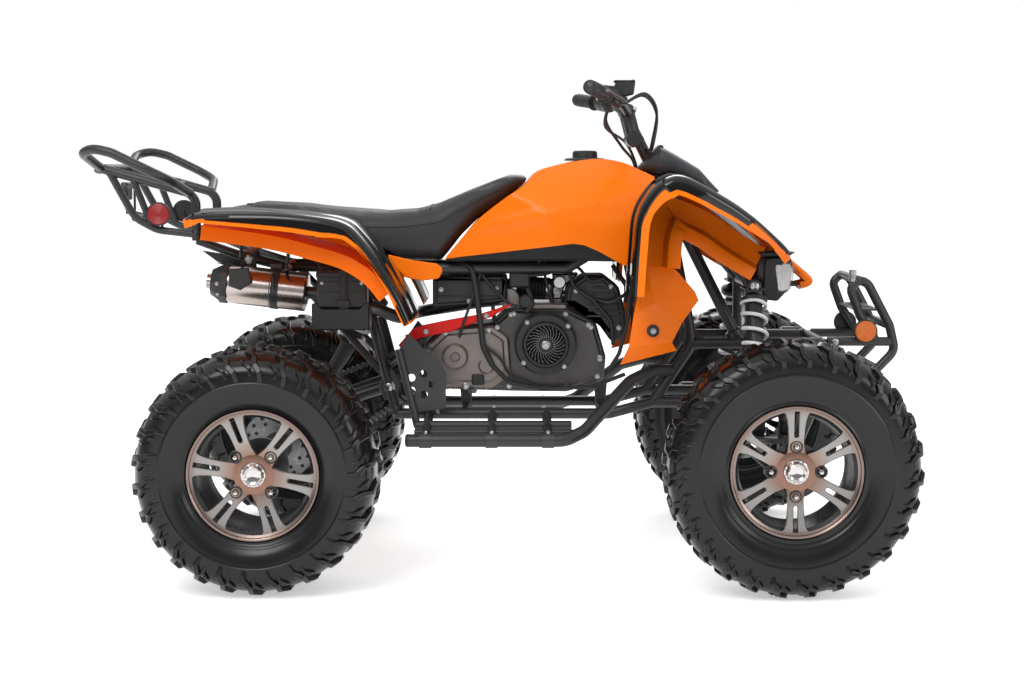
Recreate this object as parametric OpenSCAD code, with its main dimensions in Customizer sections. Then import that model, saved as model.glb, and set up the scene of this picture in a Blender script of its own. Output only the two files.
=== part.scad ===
// Sport quad bike: tubular frame, single rear swing arm and shock, twin front
// arms, ten-inch cast wheels, moulded body panels and a tubular rear rack.
// +X points forwards, +Y to the rider's left, +Z up. The origin lies on the
// ground below the centre of the overall length.

/* [Wheels] */
// Distance between the two axle lines
wheelbase = 1186; // [1100:1:1430]
// Distance between the centre planes of the rear tyres
rear_track = 845; // [820:1:1020]
// Distance between the centre planes of the front tyres
front_track = 953; // [930:1:1150]
// Outer diameter of the rear tyres
rear_tyre_d = 550; // [500:1:600]
// Width of the rear tyres
rear_tyre_w = 245; // [200:1:260]
// Outer diameter of the front tyres
front_tyre_d = 571; // [540:1:600]
// Width of the front tyres
front_tyre_w = 175; // [150:1:190]
// Diameter over the rim lips
rim_lip_d = 288; // [270:1:300]
// Wall of the rim barrel
rim_wall = 6; // [4:0.5:10]
// Number of spokes on each rim
spoke_count = 6; // [5:1:8]
// Bolt circle of the wheel nuts
lug_circle_d = 110; // [100:1:130]

/* [Axles and steering] */
// Diameter of the solid rear axle
axle_d = 34; // [28:1:42]
// Diameter of the front stub axles
stub_d = 24; // [20:1:30]
// Diameter of the brake discs
disc_d = 176; // [150:1:190]
// Diameter of the chain wheel on the rear axle
chain_wheel_d = 190; // [160:1:210]
// Rearward lean of the steering stem in degrees
stem_rake = 27; // [22:1:30]
// Diameter of the steering stem
stem_d = 28; // [24:1:34]
// Length of the steering arm at the foot of the stem
pitman_reach = 84; // [76:1:88]
// Length of the steering arm on each front upright
upright_arm_reach = 98; // [90:1:102]
// Overall width of the handlebar
bar_w = 752; // [680:1:840]
// Diameter of the handlebar tube
bar_d = 22.2; // [20:0.1:29]
// Height of the handlebar grips above the ground
grip_height = 1125; // [1080:1:1170]

/* [Frame] */
// Height of the frame's drawing datum above the ground
frame_lift = 19; // [0:1:40]
// Diameter of the main frame tubes
frame_d = 26; // [20:1:32]
// Half distance between the lower frame rails
lower_rail_y = 120; // [105:1:140]
// Half distance between the upper frame rails
upper_rail_y = 88; // [70:1:100]
// Height of the upper frame rails above the ground
upper_rail_height = 705; // [690:1:720]
// Diameter of the foot bar tubes
foot_bar_d = 30; // [24:1:36]
// Distance of the foot bars from the centre plane
foot_bar_y = 325; // [290:1:350]
// Diameter of the rack tubes
rack_d = 22; // [18:1:28]
// Half distance between the rack posts
rack_post_y = 150; // [130:1:170]
// Half width over the rack's raised corners
rack_corner_y = 330; // [290:1:360]
// Diameter of the bumper tubes
bumper_d = 22; // [18:1:28]
// Half distance between the bumper hoops
bumper_y = 118; // [100:1:130]
// Bore of the flag socket on the bumper
flag_bore_d = 10; // [8:0.5:14]
// Upright bore of the towing tongue behind the rear carrier
tow_bore_d = 16; // [12:0.5:20]

/* [Springs] */
// Outer diameter of the coil springs
spring_d = 66; // [56:1:72]
// Diameter of the spring wire
spring_wire_d = 10; // [8:0.5:12]

/* [Body] */
// Width of the seat
seat_w = 270; // [230:1:290]
// Width of the tank cover at its widest
tank_w = 380; // [340:1:400]
// Thickness of the moulded panels
panel_t = 4; // [3:0.5:6]
// Depth of the turned-down fender lips
lip_h = 30; // [20:1:45]
// Distance of the rear fenders' outer edges from the centre plane
rear_fender_y = 430; // [390:1:470]
// Distance of the front fenders' outer edges from the centre plane
front_fender_y = 430; // [390:1:470]

/* [Fits] */
// Gap between pieces that seat on each other
seat_gap = 0.3; // [0.2:0.1:1]
// Radial clearance of turning shafts and pins
run_gap = 0.1; // [0.05:0.01:0.1]
// Clearance between moving pieces
move_gap = 6; // [5:0.5:10]

/* [Hidden] */
$fn = 48;

// Stations between the axles are laid out on this wheelbase and stretch with it.
drawn_wheelbase = 1186;
function st(x) = x <= 0 ? x
    : x >= drawn_wheelbase ? wheelbase + x - drawn_wheelbase
    : x * wheelbase / drawn_wheelbase;

// Overhang of the rack behind the rear axle and of the bumper ahead of the front one.
rack_reach = 423.5;
bumper_reach = 311.5;
x_mid = (wheelbase + bumper_reach - rack_reach) / 2;

// Heights below are measured from the frame's datum.
rear_hub_z = rear_tyre_d / 2 - frame_lift;
front_hub_z = front_tyre_d / 2 - frame_lift;
grip_z = grip_height - frame_lift;
upper_rail_z = upper_rail_height - frame_lift;
rear_tyre_y = rear_track / 2;
front_tyre_y = front_track / 2;
rear_rim_w = 212;
front_rim_w = 150;

lower_rail_z = 338;
pivot_x = st(273);
pivot_z = 404;
pivot_bolt_d = 16;

// Steering stem: a line through the top clamp, leaning back from its lower end.
stem_foot_x = wheelbase - 35;
stem_foot_z = 452;
stem_top_z = 1040;
function stem_x(z) = stem_foot_x - (z - stem_foot_z) * tan(stem_rake);
pitman_dir = [-cos(stem_rake), 0, -sin(stem_rake)];
pitman_pin_y = 16;
pitman_pin = [
    stem_foot_x + pitman_reach * pitman_dir[0], pitman_pin_y,
    stem_foot_z + pitman_reach * pitman_dir[2]
];

// Front uprights turn about upright kingpins inboard of the tyres.
kingpin_inset = 108;
kingpin_y = front_tyre_y - kingpin_inset;
kingpin_d = 14;
lower_joint_z = front_hub_z - 50;
upper_joint_z = front_hub_z + 76;
rod_pin = [wheelbase - upright_arm_reach, kingpin_y, front_hub_z + 58];

arm_front_x = wheelbase + 92;
lower_arm_rear_x = wheelbase - 162;
upper_arm_rear_x = wheelbase - 4;
lower_arm_z = 366;
upper_arm_z = 508;
arm_d = 22;
arm_pivot_y = lower_rail_y + frame_d / 2 + 22;
arm_boss_d = 34;
arm_pivots = [
    [lower_arm_rear_x, lower_arm_z], [arm_front_x, lower_arm_z],
    [upper_arm_rear_x, upper_arm_z], [arm_front_x, upper_arm_z]
];

shock_top = [wheelbase - 50, 176, 650];
shock_foot = [wheelbase - 50, 296, 318];
rear_shock_top = [st(252), 0, 640];
rear_shock_foot = [st(118), 0, 418];

// Helpers

module from_rear_axle() {
    translate([-x_mid, 0, frame_lift]) children();
}

module both_sides() {
    children();
    mirror([0, 1, 0]) children();
}

module rod(a, b, d) {
    v = b - a;
    length = norm(v);
    translate(a)
        rotate([0, acos(v[2] / length), atan2(v[1], v[0])])
            cylinder(h = length, d = d);
}

// A bent tube: straight runs with a slightly proud weld ball at each bend, its
// poles along the mean of the two runs.
function run_dir(a, b) = (b - a) / norm(b - a);
weld_proud = 1;
module tube(points, d, poles_along = true) {
    for (i = [0 : len(points) - 2]) {
        rod(points[i], points[i + 1], d);
    }
    if (len(points) > 2) {
        for (i = [1 : len(points) - 2]) {
            along = run_dir(points[i - 1], points[i]) + run_dir(points[i], points[i + 1]);
            translate(points[i])
                rotate(poles_along ? [0, acos(along[2] / norm(along)), atan2(along[1], along[0])] : 0)
                    sphere(d = d + weld_proud);
        }
    }
}

// A cylinder across the bike, centred on the given point.
module cross_pin(at, length, d) {
    translate(at) rotate([90, 0, 0]) cylinder(h = length, d = d, center = true);
}

// A side-view outline given as [x, z] points, from y_low to y_high.
module side_plate(points, y_low, y_high) {
    translate([0, y_high, 0])
        rotate([90, 0, 0])
            linear_extrude(y_high - y_low) polygon(points);
}

// Outline of a strip of the given thickness hung below a run of [x, z] points.
function below(points, t) = [for (p = points) [p[0], p[1] - t]];
function reversed(list) = [for (i = [len(list) - 1 : -1 : 0]) list[i]];
function strip(points, t) = concat(points, reversed(below(points, t)));

module strip_plate(points, t, y_low, y_high) {
    side_plate(strip(points, t), y_low, y_high);
}

module box(low, high) {
    translate(low) cube(high - low);
}

// Frame

frame_front_x = wheelbase + 128;
head_z = 880;
head_half_w = 46;
head_sleeve_d = 46;
upright_foot_x = st(290);
rail_bend_x = st(800);
rail_rise_x = st(905);
upper_rail_rear_x = st(200);
upper_cross_x = st(640);
engine_cross_rear_x = st(455);
engine_cross_front_x = st(785);
down_tube_x = st(1000);
pivot_sleeve_d = 38;

function lower_rail() = [
    [upright_foot_x, lower_rail_y, lower_rail_z],
    [rail_bend_x, lower_rail_y, lower_rail_z],
    [rail_rise_x, lower_rail_y, lower_arm_z],
    [frame_front_x, lower_rail_y, lower_arm_z]
];
function rear_upright() = [
    [upright_foot_x, lower_rail_y, lower_rail_z],
    [st(244), lower_rail_y, 516],
    [upper_rail_rear_x, upper_rail_y, upper_rail_z]
];
function upper_rail() = [
    [upper_rail_rear_x, upper_rail_y, upper_rail_z],
    [st(700), upper_rail_y, upper_rail_z],
    [st(820), 72, 760],
    [stem_x(head_z), head_half_w, head_z]
];
function down_tube() = [
    [stem_x(head_z), head_half_w, head_z],
    [down_tube_x, lower_rail_y, upper_arm_z],
    [rail_rise_x, lower_rail_y, lower_arm_z]
];
function front_rail() = [
    [down_tube_x, lower_rail_y, upper_arm_z],
    [frame_front_x, lower_rail_y, upper_arm_z],
    [frame_front_x, lower_rail_y, lower_arm_z]
];
function shock_tower() = [
    [shock_top[0], lower_rail_y, upper_arm_z],
    [shock_top[0], lower_rail_y, shock_top[2]],
    [stem_x(head_z), head_half_w, head_z]
];

module stem_rod(z_low, z_high, d) {
    rod([stem_x(z_low), 0, z_low], [stem_x(z_high), 0, z_high], d);
}

cross_d = frame_d - 2;
module frame_cross(x, z, half_w) {
    cross_pin([x, 0, z], 2 * half_w, cross_d);
}

// A weld ball where several frame tubes end in one point.
module frame_ball(at) {
    translate(at) sphere(d = frame_d + weld_proud);
}

arm_lug_t = 6;
arm_lug_gap = 50;
module arm_lugs(x, z) {
    for (side = [-1, 1]) {
        translate([x + side * (arm_lug_gap + arm_lug_t) / 2, lower_rail_y, z])
            rotate([0, 90, 0])
                linear_extrude(arm_lug_t, center = true)
                    translate([-arm_boss_d / 2, 0])
                        square([arm_boss_d, arm_pivot_y - lower_rail_y + arm_boss_d / 2 - 4]);
    }
}

arm_bolt_d = 12;
module arm_bolt(x, y, z) {
    bolt_length = arm_lug_gap + 2 * arm_lug_t;
    translate([x - bolt_length / 2, y, z])
        rotate([0, 90, 0])
            cylinder(h = bolt_length, d = arm_bolt_d);
}

module main_frame() {
    color("dimgray") from_rear_axle() {
        difference() {
            union() {
                both_sides() {
                    tube(lower_rail(), frame_d);
                    tube(rear_upright(), frame_d);
                    tube(upper_rail(), frame_d);
                    tube(down_tube(), frame_d);
                    tube(front_rail(), frame_d);
                    tube(shock_tower(), cross_d);
                    frame_ball(lower_rail()[0]);
                    frame_ball(upper_rail()[0]);
                    frame_ball(down_tube()[0]);
                    frame_ball(front_rail()[2]);
                    for (p = arm_pivots) {
                        arm_lugs(p[0], p[1]);
                    }
                }
                frame_cross(upper_cross_x, upper_rail_z, upper_rail_y);
                frame_cross(upper_rail_rear_x, upper_rail_z, upper_rail_y);
                frame_cross(engine_cross_rear_x, lower_rail_z, lower_rail_y);
                frame_cross(engine_cross_front_x, lower_rail_z, lower_rail_y);
                frame_cross(frame_front_x, lower_arm_z, lower_rail_y);
                frame_cross(frame_front_x, upper_arm_z, lower_rail_y);
                frame_cross(stem_x(head_z), head_z, head_half_w);
                frame_cross(shock_top[0], shock_top[2], lower_rail_y);
                frame_cross(stem_x(upper_arm_z), upper_arm_z, lower_rail_y);
                stem_rod(head_z - 24, head_z + 24, head_sleeve_d);
                stem_rod(upper_arm_z - 20, upper_arm_z + 20, head_sleeve_d);
                both_sides() shock_ear();
                rear_shock_ears();
                cross_pin([pivot_x, 0, pivot_z], 2 * lower_rail_y, pivot_bolt_d);
            }
            stem_rod(stem_foot_z - 30, stem_top_z, stem_d + 2 * run_gap);
            both_sides() {
                for (p = arm_pivots) {
                    arm_bolt(p[0], arm_pivot_y, p[1]);
                }
                cross_pin(shock_top, 60, shock_pin_d + 2 * seat_gap);
            }
            cross_pin(rear_shock_top, 60, shock_pin_d + 2 * seat_gap);
        }
    }
}

shock_pin_d = 12;
shock_eye_d = 30;
shock_eye_w = 24;
ear_t = 6;
module shock_ear() {
    for (side = [-1, 1]) {
        y = shock_top[1] + side * (shock_eye_w + ear_t + 2 * seat_gap) / 2;
        side_plate([
            [shock_top[0] - 18, shock_top[2] - 9], [shock_top[0] + 18, shock_top[2] - 9],
            [shock_top[0] + 18, shock_top[2] + 22], [shock_top[0] - 18, shock_top[2] + 22]
        ], y - ear_t / 2, y + ear_t / 2);
    }
    box([shock_top[0] - 18, lower_rail_y, shock_top[2] + 17],
        [shock_top[0] + 18, shock_top[1] + shock_eye_w / 2 + ear_t, shock_top[2] + 23]);
}

module rear_shock_ears() {
    for (side = [-1, 1]) {
        y = side * (shock_eye_w + ear_t + 2 * seat_gap) / 2;
        side_plate([
            [upper_rail_rear_x, upper_rail_z - 10], [upper_rail_rear_x + 12, upper_rail_z + 6],
            [rear_shock_top[0] + 18, rear_shock_top[2] + 6],
            [rear_shock_top[0] + 12, rear_shock_top[2] - 16],
            [rear_shock_top[0] - 14, rear_shock_top[2] - 14]
        ], y - ear_t / 2, y + ear_t / 2);
    }
}

// Rear subframe: seat rails that sweep up to the rack, with the battery tray.
subframe_d = 22;
post_foot_x = st(-178);
post_foot_z = 756;
hanger_x = -60;
battery_x = st(114);
battery_l = 116;
battery_w = 66;
battery_h = 84;
battery_y = -215;
battery_z = 603;
tray_h = 52;

function seat_rail() = [
    [upper_rail_rear_x - frame_d / 2 + 3, upper_rail_y, upper_rail_z],
    [20, upper_rail_y, upper_rail_z + 4],
    [-80, 120, 718],
    [post_foot_x, rack_post_y, post_foot_z]
];

module rear_subframe() {
    color("dimgray") from_rear_axle() difference() {
        union() {
            both_sides() {
                difference() {
                    tube(seat_rail(), subframe_d);
                    cross_pin([upper_rail_rear_x, upper_rail_y, upper_rail_z],
                        60, frame_d + weld_proud + 2 * seat_gap);
                }
                rod([pivot_x - 24, lower_rail_y - 4, pivot_z + 40],
                    [30, upper_rail_y, upper_rail_z - 2], subframe_d - 4);
                for (x = fender_stay_x) {
                    fender_tab(x);
                }
            }
            cross_pin([20, 0, upper_rail_z + 4], 2 * upper_rail_y, subframe_d);
            cross_pin([-80, 0, 718], 2 * 120, subframe_d);
            battery_tray();
        }
        both_sides() tube(rear_upright(), frame_d + weld_proud + 2 * seat_gap);
        both_sides() tube(upper_rail(), frame_d + weld_proud + 2 * seat_gap);
    }
}

fender_stay_x = [45, 150];
fender_tab_h = 18;
module fender_tab(x) {
    box([x - 14, upper_rail_y - 6, upper_rail_z + 6],
        [x + 14, upper_rail_y + 26, upper_rail_z + fender_tab_h]);
}

tray_t = 3;
module battery_tray() {
    low_y = battery_y - battery_w / 2 - seat_gap;
    high_y = battery_y + battery_w / 2 + seat_gap;
    end_x = battery_x + battery_l + 6;
    difference() {
        box([battery_x - 12, low_y - tray_t, battery_z - tray_h],
            [end_x, high_y + tray_t, battery_z + 12]);
        box([battery_x - 12 + tray_t, low_y, battery_z - seat_gap],
            [end_x - tray_t, high_y, battery_z + 13]);
        box([battery_x - 12 + tray_t, low_y, battery_z - tray_h - 1],
            [end_x - tray_t, high_y, battery_z - tray_t - seat_gap]);
    }
    for (x = [battery_x + 10, battery_x + battery_l - 14]) {
        box([x - 8, high_y + tray_t - 0.5, battery_z - 2],
            [x + 8, high_y + tray_t + 4, upper_rail_z - 2]);
        rod([x, high_y + tray_t + 2, upper_rail_z - 8], [x, -upper_rail_y, upper_rail_z - 2], 12);
    }
}

module battery() {
    color("black") from_rear_axle() {
        box([battery_x, battery_y - battery_w / 2, battery_z],
            [battery_x + battery_l, battery_y + battery_w / 2, battery_z + battery_h]);
    }
}

// Engine: one casting with the gearbox behind the crankcase, heavy and solid.
crank_x = st(648);
crank_z = 505;
engine_rear_x = st(352);
engine_front_x = st(795);
case_half_w = 78;

module mount_lug(x, z, at_x, at_z, w) {
    difference() {
        union() {
            cross_pin([x, 0, z], w, frame_d + 16);
            side_plate([
                [x - 12, z], [x + 12, z], [at_x + 14, at_z], [at_x - 14, at_z]
            ], -w / 2, w / 2);
        }
        cross_pin([x, 0, z], w + 2, cross_d + 2 * seat_gap);
    }
}

module engine() {
    color("silver") from_rear_axle() {
        side_plate([
            [engine_rear_x, 440], [st(380), 392], [st(560), 386], [st(700), 384],
            [st(790), 410], [engine_front_x, 470], [st(770), 556], [st(700), 590],
            [st(560), 590], [st(520), 552], [st(400), 545], [engine_rear_x, 500]
        ], -case_half_w, case_half_w);
        cross_pin([st(430), -case_half_w - 14, 473], 30, 58);
        cross_pin([crank_x, case_half_w + 14, crank_z], 30, 150);
        cross_pin([sprocket_x, case_half_w + 12, sprocket_z], 30, 44);
        cross_pin([sprocket_x, chain_y, sprocket_z], 7, sprocket_d);
        mount_lug(engine_cross_rear_x, lower_rail_z, engine_cross_rear_x, 400, 60);
        mount_lug(engine_cross_front_x, lower_rail_z, engine_cross_front_x - 10, 420, 60);
    }
}

fan_d = 152;
fan_depth = 46;
module fan_cover() {
    y_face = -case_half_w - seat_gap;
    color("black") from_rear_axle() {
        difference() {
            union() {
                cross_pin([crank_x, y_face - fan_depth / 2, crank_z], fan_depth, fan_d);
                cross_pin([crank_x, y_face - fan_depth - 8, crank_z], 16, fan_d - 44);
            }
            difference() {
                cross_pin([crank_x, y_face - fan_depth - 16, crank_z], 16, fan_d - 60);
                cross_pin([crank_x, y_face - fan_depth - 16, crank_z], 18, 34);
            }
        }
    }
}

// The cylinder leans forwards under a ribbed cowl and an air shroud.
module cylinder_cowl() {
    color("black") from_rear_axle() {
        side_plate([
            [st(716), 591], [st(770), 558], [st(812), 500], [st(846), 520],
            [st(842), 580], [st(826), 640], [st(790), 668], [st(740), 668], [st(700), 640],
            [st(690), 591]
        ], -64, 64);
    }
}

// Places of the carburettor and the airbox behind it.
carb_z = 634;
module carburettor() {
    color("gray") from_rear_axle() {
        side_plate([
            [st(664), 606], [st(686), 606], [st(696), 642], [st(732), 668],
            [st(732), 672], [st(664), 672]
        ], -46, 46);
        rod([st(556) + seat_gap, -20, carb_z], [st(666), -20, carb_z], 48);
        cross_pin([st(682), -56, carb_z + 16], 22, 30);
        cross_pin([st(678), 0, 598.5], 40, 16.4);
    }
}

module airbox() {
    color("black") from_rear_axle() {
        side_plate([
            [st(375), 588], [st(500), 597], [st(556), 604], [st(556), 668], [st(375), 668]
        ], -80, 62);
        for (x = [st(400), st(530)]) {
            box([x - 12, -upper_rail_y - 8, 667], [x + 12, -upper_rail_y + 8, upper_rail_z - frame_d / 2 - seat_gap]);
            box([x - 12, -80, 667], [x + 12, -60, 670]);
        }
    }
}

// Silencer low on the right, hung from the subframe, and its pipe to the engine.
silencer_y = -150;
silencer_d = 92;
pipe_d = 30;
silencer_rear = [-118, silencer_y, 655];
silencer_front = [84, silencer_y, 632];
module silencer() {
    color("silver") from_rear_axle() {
        rod(silencer_rear, silencer_front, silencer_d);
        rod([-146, silencer_y, 658], silencer_rear, silencer_d + 6);
        tube([
            silencer_front, [130, silencer_y, 626], [st(235), -142, 596], [st(292), -92, 568],
            [st(304), 0, 562], [st(330), 80, 568], [st(480), 100, 590], [st(640), 100, 608],
            [st(756), 94, 606], [st(756), 64.3, 606]
        ], pipe_d);
        difference() {
            box([hanger_x - 14, -126, 670], [hanger_x + 14, -118, 722]);
            mirror([0, 1, 0]) tube(seat_rail(), subframe_d + weld_proud + 2 * seat_gap);
            box([hanger_x - 20, -140, 714], [hanger_x + 20, -100, 740]);
        }
    }
}

// Foot bars along each side, each on two outriggers from the lower rail.
bar_rear_x = st(330);
bar_low_z = 303;
outrigger_rear_x = st(520);
outrigger_front_x = st(650);
module foot_bars() {
    color("dimgray") from_rear_axle() both_sides() difference() {
        union() {
            tube([
                [bar_rear_x, foot_bar_y, bar_low_z], [st(690), foot_bar_y, bar_low_z], [st(735), foot_bar_y - 22, 322],
                [st(846), foot_bar_y - 132, 424], [st(905), lower_rail_y + 26, 446],
                [st(950), lower_rail_y, 442]
            ], foot_bar_d);
            for (x = [st(368), outrigger_rear_x, outrigger_front_x]) {
                rod([x, lower_rail_y, lower_rail_z], [x, foot_bar_y, bar_low_z], frame_d - 4);
            }
        }
        tube(lower_rail(), frame_d + weld_proud + 2 * seat_gap);
        tube(down_tube(), frame_d + weld_proud + 2 * seat_gap);
    }
}

// Heel guards: drilled plates behind the rider's feet, on two stays.
heel_y = 196;
heel_t = 5;
module heel_guards() {
    color("black") from_rear_axle() both_sides() {
        difference() {
            side_plate([
                [st(325), 537], [st(357), 502], [st(397), 474], [st(411), 444], [st(411), 360],
                [st(340), 352], [st(298), 496]
            ], heel_y - heel_t, heel_y);
            for (a = [0 : 72 : 288]) {
                cross_pin([st(351) + 26 * cos(a), heel_y - heel_t / 2, 418 + 26 * sin(a)], heel_t + 2, 18);
            }
        }
        difference() {
            union() {
                rod([st(392), lower_rail_y, lower_rail_z], [st(384), heel_y - heel_t, 372], 14);
                rod([pivot_x, lower_rail_y, pivot_z + 50], [st(318), heel_y - heel_t, 490], 14);
            }
            tube(lower_rail(), frame_d + weld_proud + 2 * seat_gap);
            tube(rear_upright(), frame_d + weld_proud + 2 * seat_gap);
            side_plate([[st(250), 300], [st(450), 300], [st(450), 560], [st(250), 560]],
                heel_y - heel_t / 2, heel_y + 20);
        }
        rod([st(344), heel_y + 10, 291 + 26], [st(300), heel_y - heel_t / 2 + 8, 500], 18);
    }
}

// Seat: a padded saddle that climbs onto the tank cover.
seat_z = upper_rail_z + frame_d / 2 + seat_gap;
module seat() {
    color("black") from_rear_axle() intersection() {
        side_plate([
            [-82, 800], [-70, 838], [-50, 845], [st(48), 840], [st(146), 830], [st(268), 822],
            [st(342), 827], [st(391), 840], [st(464), 871], [st(538), 900], [st(577), 914],
            [st(606), 910], [st(591), 887], [st(482), 805], [st(441), 757], [st(404), 712],
            [st(396), seat_z], [st(230), seat_z], [st(190), 760], [-60, 772]
        ], -seat_w / 2, seat_w / 2);
        translate([-200, 0, 0]) rotate([90, 0, 90]) linear_extrude(wheelbase)
            polygon([
                [-seat_w / 2, 690], [seat_w / 2, 690], [seat_w / 2, 800], [seat_w / 2 - 16, 836],
                [seat_w / 2 - 50, 860], [70, 930], [-70, 930], [50 - seat_w / 2, 860],
                [16 - seat_w / 2, 836], [-seat_w / 2, 800]
            ]);
    }
}

// Tank cover: side outline, cross-section and plan cut together.
module tank_cover() {
    color("orange") from_rear_axle() difference() {
        intersection() {
            side_plate([
                [st(409), 713], [st(446), 757.5], [st(486), 804], [st(594), 884], [st(611), 908],
                [st(667), 930], [st(728), 944], [st(784), 948], [st(836), 937], [st(905), 906],
                [st(880), 790], [st(852), 700], [st(830), 698], [st(771), 731], [st(736), 746],
                [st(710), 749], [st(663), 743], [st(544), 728]
            ], -tank_w / 2, tank_w / 2);
            translate([st(380), 0, 0]) rotate([90, 0, 90]) linear_extrude(st(560))
                polygon([
                    [-tank_w / 2, 690], [tank_w / 2, 690], [tank_w / 2, 810],
                    [tank_w / 2 - 40, 884], [100, 925], [50, 960], [-50, 960], [-100, 925],
                    [40 - tank_w / 2, 884], [-tank_w / 2, 810]
                ]);
            linear_extrude(1000)
                polygon([
                    [st(395), -seat_w / 2], [st(560), 30 - tank_w / 2], [st(660), -tank_w / 2],
                    [st(860), -tank_w / 2], [st(920), 40 - tank_w / 2],
                    [st(920), tank_w / 2 - 40], [st(860), tank_w / 2], [st(660), tank_w / 2],
                    [st(560), tank_w / 2 - 30], [st(395), seat_w / 2]
                ]);
        }
        stem_rod(stem_foot_z, stem_top_z, stem_d + 2 * move_gap);
        stem_rod(head_z - 24 - seat_gap, head_z + 24 + seat_gap, head_sleeve_d + 2 * seat_gap);
        both_sides() tube(upper_rail(), frame_d + weld_proud + 2 * seat_gap);
        both_sides() tube(down_tube(), frame_d + weld_proud + 2 * seat_gap);
        both_sides() tube(shock_tower(), cross_d + 2 * seat_gap);
        frame_cross(stem_x(head_z), head_z, head_half_w + 1);
        cross_pin([stem_x(head_z), 0, head_z], 2 * head_half_w + 2, frame_d + 2 * seat_gap);
    }
}

// Rear fenders: an orange shell with a turned-down lip and a leg shield.
fender_inner_y = seat_w / 2 + 2;
rear_fender_top = [
    [-171, 812], [-120, 824], [st(17), 826], [st(120), 818], [st(190), 804], [st(228), 772],
    [st(283), 699], [st(318), 640], [st(345), 583]
];
rear_fender_lip = [
    [-171, 812], [-120, 824], [st(17), 826], [st(120), 818], [st(190), 804], [st(228), 772],
    [st(283), 699], [st(318), 640], [st(345), 583], [st(300), 650], [st(262), 690],
    [st(190), 748], [st(17), 790], [-120, 802]
];
module rear_fenders() {
    color("orange") from_rear_axle() both_sides() {
        difference() {
            union() {
                strip_plate(rear_fender_top, panel_t, fender_inner_y, rear_fender_y);
                side_plate(rear_fender_lip, rear_fender_y - panel_t, rear_fender_y);
            }
            plan_cut();
            tube(seat_rail(), subframe_d + weld_proud + 2 * seat_gap);
            tube(rear_upright(), frame_d + weld_proud + 2 * seat_gap);
            tube(upper_rail(), frame_d + weld_proud + 2 * seat_gap);
        }
        fender_side_panel();
        fender_stay();
    }
}

// The fender narrows towards its tail and its lower tip.
module plan_cut() {
    box([-200, 0, 700], [-146, rack_post_y + rack_d, 900]);
    translate([0, 0, 400]) linear_extrude(500) {
        polygon([
            [-300, 300], [-171, 380], [-60, rear_fender_y], [-60, 600], [-300, 600]
        ]);
    }
    side_plate([[st(240), 500], [st(420), 500], [st(420), 700], [st(292), 690]], 0, 250);
}

module fender_side_panel() {
    side_plate([
        [st(236), 762], [st(262), 724], [st(392), 700], [st(404), 688], [st(394), 664],
        [st(352), 659], [st(300), 672], [st(250), 740]
    ], fender_inner_y, fender_inner_y + panel_t);
}

module fender_stay() {
    for (x = fender_stay_x) {
        foot_z = upper_rail_z + fender_tab_h + seat_gap;
        top_z = lookup(x + 12, rear_fender_top) - 1;
        box([x - 12, upper_rail_y, foot_z], [x + 12, upper_rail_y + 24, foot_z + 4]);
        box([x - 12, upper_rail_y + 20, foot_z], [x + 12, upper_rail_y + 24, 754]);
        box([x - 12, upper_rail_y + 20, 750], [x + 12, fender_inner_y + 24, 754]);
        box([x - 12, fender_inner_y + 20, 750], [x + 12, fender_inner_y + 24, top_z]);
    }
}

rear_trim_top = [
    [-165, 819.3], [-131, 830], [st(17), 832], [st(120), 824], [st(193), 810], [st(232), 778],
    [st(262), 738]
];
rear_trim_foot = [
    [-165, 813], [-120, 823], [st(17), 825], [st(120), 817], [st(190), 803], [st(228), 771],
    [st(255), 735]
];
module rear_fender_trim() {
    color("black") from_rear_axle() both_sides() difference() {
        side_plate(concat(rear_trim_top, reversed(rear_trim_foot)),
            fender_inner_y, rear_fender_y - 36);
        box([-200, 0, 700], [-146, rack_post_y + rack_d, 900]);
        translate([0, 0, 400]) linear_extrude(500)
            polygon([[-300, 260], [-165, 340], [-60, rear_fender_y - 36], [-60, 600], [-300, 600]]);
        translate([0, 0, seat_gap]) strip_plate(rear_fender_top, panel_t + 8, 0, 600);
    }
}

// Front fenders: a leg shield that rises and sweeps forward over the tyre.
front_inner_y = tank_w / 2 + 6;
front_fender_top = [
    [st(838), 640], [st(846), 740], [st(852), 812], [st(874), 858], [st(905), 894],
    [st(948), 904], [st(1039), 858], [st(1109), 812], [wheelbase - 8, 754], [wheelbase + 18, 722]
];
front_fender_lip = concat(front_fender_top, [
    [wheelbase - 12, 736], [st(1100), 778], [st(1035), 824], [st(950), 866], [st(915), 858],
    [st(890), 826], [st(876), 790], [st(866), 730], [st(846), 640]
]);
module front_plan() {
    translate([0, 0, 400]) linear_extrude(600) polygon([
        [st(820), front_inner_y], [st(868), front_inner_y], [st(930), front_inner_y - 40],
        [st(985), 96],
        [wheelbase + 30, 70], [wheelbase + 30, 300], [st(1110), front_fender_y - 30],
        [st(1000), front_fender_y], [st(900), front_fender_y], [st(820), front_fender_y - 40]
    ]);
}

module front_fenders() {
    color("orange") from_rear_axle() both_sides() {
        difference() {
            union() {
                intersection() {
                    union() {
                        strip_plate(front_fender_top, panel_t, 60, front_fender_y);
                        side_plate(leg_shield(), front_inner_y, front_fender_y - 30);
                    }
                    front_plan();
                }
                intersection() {
                    side_plate(front_fender_lip, front_fender_y - panel_t, front_fender_y);
                    front_plan();
                }
            }
            side_plate([[st(930), 1000], [st(930), 870], [st(1100), 780], [wheelbase - 30, 700],
                [wheelbase + 60, 700], [wheelbase + 60, 1000]], 0, lamp_y + 56);
            tube(down_tube(), frame_d + 2 * seat_gap);
            tube(shock_tower(), cross_d + weld_proud + 2 * seat_gap);
        }
        difference() {
            rod([st(1040), 84.6, 762], [st(1040), 188, 852], 10);
            tube(shock_tower(), cross_d + 2 * seat_gap);
        }
    }
}

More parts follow.
